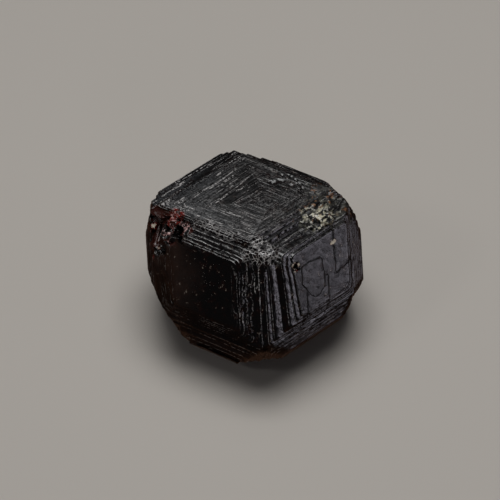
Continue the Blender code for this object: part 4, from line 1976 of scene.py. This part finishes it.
    def base_colour(self, nodes: Nodes, place: Socket, patterns: Patterns) -> Socket:
        """The colour: body, brown undertones, dusty streaks of painted sheen, red breaks with painted
        glints on their borders, frost with painted glints, edges with painted highlights, and crust.

        Args:
            nodes: the material's nodes.
            place: the place on the object.
            patterns: the finish's patterns.

        Returns:
            The colour.
        """
        specks, blotch = patterns.specks, patterns.blotch
        mottle = nodes.noise(place, 1400.0, 3.0)
        tone = nodes.mix(nodes.window(mottle, 0.50, 0.66), self.body, self.ruddy)
        warmth = nodes.times(nodes.attribute("warm"), nodes.linear(blotch, 0.6, 0.4))
        tone = nodes.mix(warmth, tone, self.brown)
        # Sparse pale specks: partly dust, partly painted glints.
        speckled = nodes.times(nodes.window(specks, 0.80, 1.0), nodes.window(mottle, 0.60, 0.68), 0.30)
        tone = nodes.mix(speckled, tone, self.cream)
        tone = self.striated(nodes, tone, patterns)
        tone = self.broken(nodes, tone, specks)
        frost_and_glints = nodes.attribute("frost_and_glints")
        # Pale borders of the frosted facets: partly frost, partly painted glints.
        lined = nodes.times(patterns.border, nodes.window(blotch, 0.20, 0.70), frost_and_glints)
        tone = nodes.mix(lined, tone, self.pale)
        # Pale riser edges: partly wear, partly painted highlights.
        patchy = nodes.times(nodes.window(specks, 0.15, 0.80), nodes.window(blotch, 0.15, 0.70))
        wear_and_highlight = nodes.times(nodes.window(nodes.attribute("edge"), 0.3, 0.9), patchy, 0.5)
        tone = nodes.mix(wear_and_highlight, tone, self.pale)
        return nodes.mix(nodes.times(nodes.attribute("crust"), 0.9), tone, patterns.crumb)

    def roughness(self, nodes: Nodes, groove: Socket, swell: Socket) -> Socket:
        """The roughness: the gloss, and more of it where the surface is worn, striated or crusted.

        Args:
            nodes: the material's nodes.
            groove: the lines along the terraces' edges.
            swell: the noise of the surface's unevenness.

        Returns:
            The roughness.
        """
        rough = self.gloss
        for name, more in self.ROUGHER:
            rough = nodes.linear(nodes.attribute(name), more, rough)
        rough = nodes.linear(groove, 0.5, rough)
        patchy = nodes.times(nodes.window(swell, 0.36, 0.66), nodes.attribute("inner"))
        return nodes.linear(patchy, 0.07, rough)

    def material(self, effects: Effects) -> Material:
        """Makes the material.

        Args:
            effects: the shared node groups.

        Returns:
            The material.
        """
        material, nodes, shader = new_material("garnet")
        place = nodes.add("TexCoord").outputs["Object"]
        fresh, frost_and_glints, crust = (nodes.attribute(name) for name in ("fresh", "frost_and_glints", "crust"))
        tilt = nodes.math("MAXIMUM", nodes.times(frost_and_glints, 0.45), nodes.times(fresh, 0.3))
        tilt = nodes.math("MAXIMUM", tilt, nodes.times(crust, 0.8))
        grain = nodes.group(effects.grain, Vector=place, Scale=4500.0)
        glint = nodes.group(effects.glint, Vector=place, Scale=1900.0, Tilt=tilt)
        crumb = nodes.group(effects.crumb, Vector=place, Number=glint["Number"])
        wide, narrow = self.streaks(nodes, 2.2, 0.30), self.streaks(nodes, 8.0, 0.36)
        patterns = Patterns(
            grain["Grain"], grain["Blotch"], glint["Border"], wide, narrow, crumb["Color"]
        )
        groove, raised = self.terraces(nodes)
        swell = nodes.noise(place, 1500.0, 5.0)
        # Painted shade: black and metallic where a shard's number is near 0, so that nothing shines inside
        # the deep pits.
        pit_shade = nodes.times(nodes.window(nodes.attribute("shard"), 0.06, 0.03), fresh)
        strength = nodes.linear(nodes.attribute("dust_and_sheen"), 0.15, 0.16)
        grainy = nodes.linear(grain["Grain"], 0.10, narrow)
        striae = nodes.bump(grainy, 0.07 * MM, strength, glint["Normal"])
        uneven = nodes.bump(swell, 0.1 * MM, 0.40, striae)
        sockets = {
            "Base Color": self.base_colour(nodes, place, patterns),
            "Roughness": self.roughness(nodes, groove, swell),
            "Metallic": pit_shade,
            "Normal": nodes.bump(raised, 0.02 * MM, 1.0, uneven),
            "IOR": self.ior,
        }
        nodes.feed(shader, sockets)
        return material


@dataclass(frozen=True)
class MicaFinish:
    """Crumbly mica rock with glittering facets."""

    facets: float = 3300.0  # how many facets there are to a metre
    tilt: float = 0.9  # how steeply they may lean

    def material(self, effects: Effects) -> Material:
        """Makes the material.

        Args:
            effects: the shared node groups.

        Returns:
            The material.
        """
        material, nodes, shader = new_material("mica_rock")
        place = nodes.add("TexCoord").outputs["Object"]
        glint = nodes.group(effects.glint, Vector=place, Scale=self.facets, Tilt=self.tilt)
        crumb = nodes.group(effects.crumb, Vector=place, Number=glint["Number"])
        rough = nodes.linear(glint["Number"], 0.4, 0.3)
        sockets = {"Base Color": crumb["Color"], "Roughness": rough, "Normal": glint["Normal"]}
        nodes.feed(shader, sockets)
        return material


@dataclass(frozen=True)
class GrainFinish:
    """Loose pale grains: each place a little different in tone."""

    dark: Colour = colour(0.10, 0.085, 0.075)
    light: Colour = colour(0.55, 0.50, 0.46)
    roughness: float = 0.35

    def material(self) -> Material:
        """Makes the material.

        Returns:
            The material.
        """
        material, nodes, shader = new_material("pale_grain")
        place = nodes.add("TexCoord").outputs["Object"]
        share = nodes.window(nodes.noise(place, 2500.0, 1.0), 0.4, 0.6)
        tone = nodes.mix(share, self.dark, self.light)
        nodes.feed(shader, {"Base Color": tone, "Roughness": self.roughness})
        return material


# ---- Studio ----


@dataclass(frozen=True)
class SoftBox:
    """A square soft box that faces the crystal."""

    name: str
    azimuth: float  # in degrees from the front towards +X
    elevation: float
    size: float  # metres
    power: float  # watts
    tint: tuple[float, float, float] = (1.0, 1.0, 1.0)


SOFT_BOXES = (
    SoftBox("back_box", 172, 64, 0.14, 0.03),
    SoftBox("top_box", 172, 86, 0.22, 0.70),
    SoftBox("right_box", 64, 6, 0.055, 0.021, (0.98, 0.93, 1.06)),
    SoftBox("front_accent", 5, 24, 0.05, 0.03, (1.0, 0.95, 1.03)),
    SoftBox("left_accent", -63, 44, 0.05, 0.04),
)


@dataclass
class Studio:
    """The camera, the lights, the floor and the room."""

    azimuth: float = -6.0  # the camera's, in degrees from the front towards +X
    elevation: float = 46.5
    distance: float = 339.0  # millimetres from the core's front top corner
    frame_width: float = 56.5  # what the frame spans at that distance
    corner_pixel: tuple[float, float] = (258.1, 252.8)  # where that corner shows in the frame
    frame_pixels: float = 500.0
    sensor: float = 36.0
    box_distance: float = 0.35  # metres from the soft boxes to the place that they face
    box_aim: float = 0.010  # the height of that place
    floor_half: float = 3.0  # half the floor's width in metres
    floor_tone: Colour = colour(0.62, 0.58, 0.53)
    floor_roughness: float = 0.8
    around: Colour = colour(0.022, 0.022, 0.023)  # the room above the floor
    below: Colour = colour(0.042, 0.021, 0.013)  # the warm surface that the stone mirrors
    horizon: tuple[float, float] = (-0.12, 0.04)  # where the one turns into the other

    def camera(self) -> None:
        """Makes the camera, which looks down on the crystal from the front, a little left."""
        back = facing(self.azimuth, self.elevation)
        right = unit(np.cross([0.0, 0.0, 1.0], back))
        up = np.cross(back, right)
        pixel = self.frame_width / self.frame_pixels
        aside = (self.corner_pixel[0] - self.frame_pixels / 2) * pixel
        below = (self.corner_pixel[1] - self.frame_pixels / 2) * pixel
        place = FRONT_TOP_CORNER + back * self.distance - right * aside + up * below
        data = bpy.data.cameras.new("camera")
        data.sensor_width = self.sensor
        data.lens = self.sensor * self.distance / self.frame_width
        data.clip_start, data.clip_end = 0.01, 10.0
        camera = bpy.data.objects.new("camera", data)
        camera.rotation_mode = "QUATERNION"
        camera.rotation_quaternion = Vector(-back).to_track_quat("-Z", "Y")
        camera.location = place * MM
        bpy.context.scene.collection.objects.link(camera)
        bpy.context.scene.camera = camera

    def light(self, box: SoftBox) -> None:
        """Adds one soft box.

        Args:
            box: the soft box.
        """
        data = bpy.data.lights.new(box.name, "AREA")
        data.shape = "RECTANGLE"
        data.size, data.size_y = box.size, box.size
        data.energy = box.power
        data.color = box.tint
        lamp = bpy.data.objects.new(box.name, data)
        way = facing(box.azimuth, box.elevation)
        lamp.location = way * self.box_distance + [0, 0, self.box_aim]
        lamp.rotation_mode = "QUATERNION"
        lamp.rotation_quaternion = Vector(way).to_track_quat("Z", "Y")
        bpy.context.scene.collection.objects.link(lamp)

    def floor(self) -> None:
        """Makes the floor, a square that the stone doesn't mirror."""
        mesh = bpy.data.meshes.new("floor")
        half = self.floor_half
        corners = [(-half, -half, 0), (half, -half, 0), (half, half, 0), (-half, half, 0)]
        mesh.from_pydata(corners, [], [(0, 1, 2, 3)])
        floor = bpy.data.objects.new("floor", mesh)
        material, nodes, shader = new_material("floor")
        nodes.feed(shader, {"Base Color": self.floor_tone, "Roughness": self.floor_roughness})
        mesh.materials.append(material)
        bpy.context.scene.collection.objects.link(floor)
        floor.visible_glossy = False

    def room(self) -> None:
        """Makes the light of the room, which is warm from below."""
        world = bpy.data.worlds.new("world")
        world.use_nodes = True
        nodes = Nodes(world.node_tree)
        height = nodes.add("SeparateXYZ", {0: nodes.add("TexCoord").outputs["Generated"]}).outputs[2]
        share = nodes.window(height, *self.horizon)
        tone = nodes.mix(share, self.below, self.around)
        nodes.feed(world.node_tree.nodes["Background"], {"Color": tone, "Strength": 1.0})
        bpy.context.scene.world = world
        bpy.context.scene.view_settings.view_transform = "Standard"

    def build(self) -> None:
        """Makes everything."""
        self.camera()
        self.floor()
        for box in SOFT_BOXES:
            self.light(box)
        self.room()


def main() -> None:
    """Builds and dresses the crystal, the mica and grains on it, and the studio."""
    logging.basicConfig(level=logging.INFO, format="%(message)s")
    effects = Effects(grain_effect(), glint_effect(), crumb_effect(CrumbTones()))
    crystal = Crystal().build(GarnetFinish().material(effects))
    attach(crystal, "root")
    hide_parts("garnet_crystal")
    mica, pale = MicaFinish().material(effects), GrainFinish().material()
    lump = MicaRock().build(mica)
    flakes = Grains("mica_flakes", FLAKE_PATCHES, 200).build(crystal.data, mica)
    grains = Grains("loose_grains", GRAIN_PATCHES, 300).build(crystal.data, pale)
    for piece in (lump, flakes, grains):
        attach(piece, "root")
    for piece in (crystal, lump, flakes, grains):
        LOG.info("%s: %d faces", piece.name, len(piece.data.polygons))
    Studio().build()


if __name__ == "__main__":
    main()
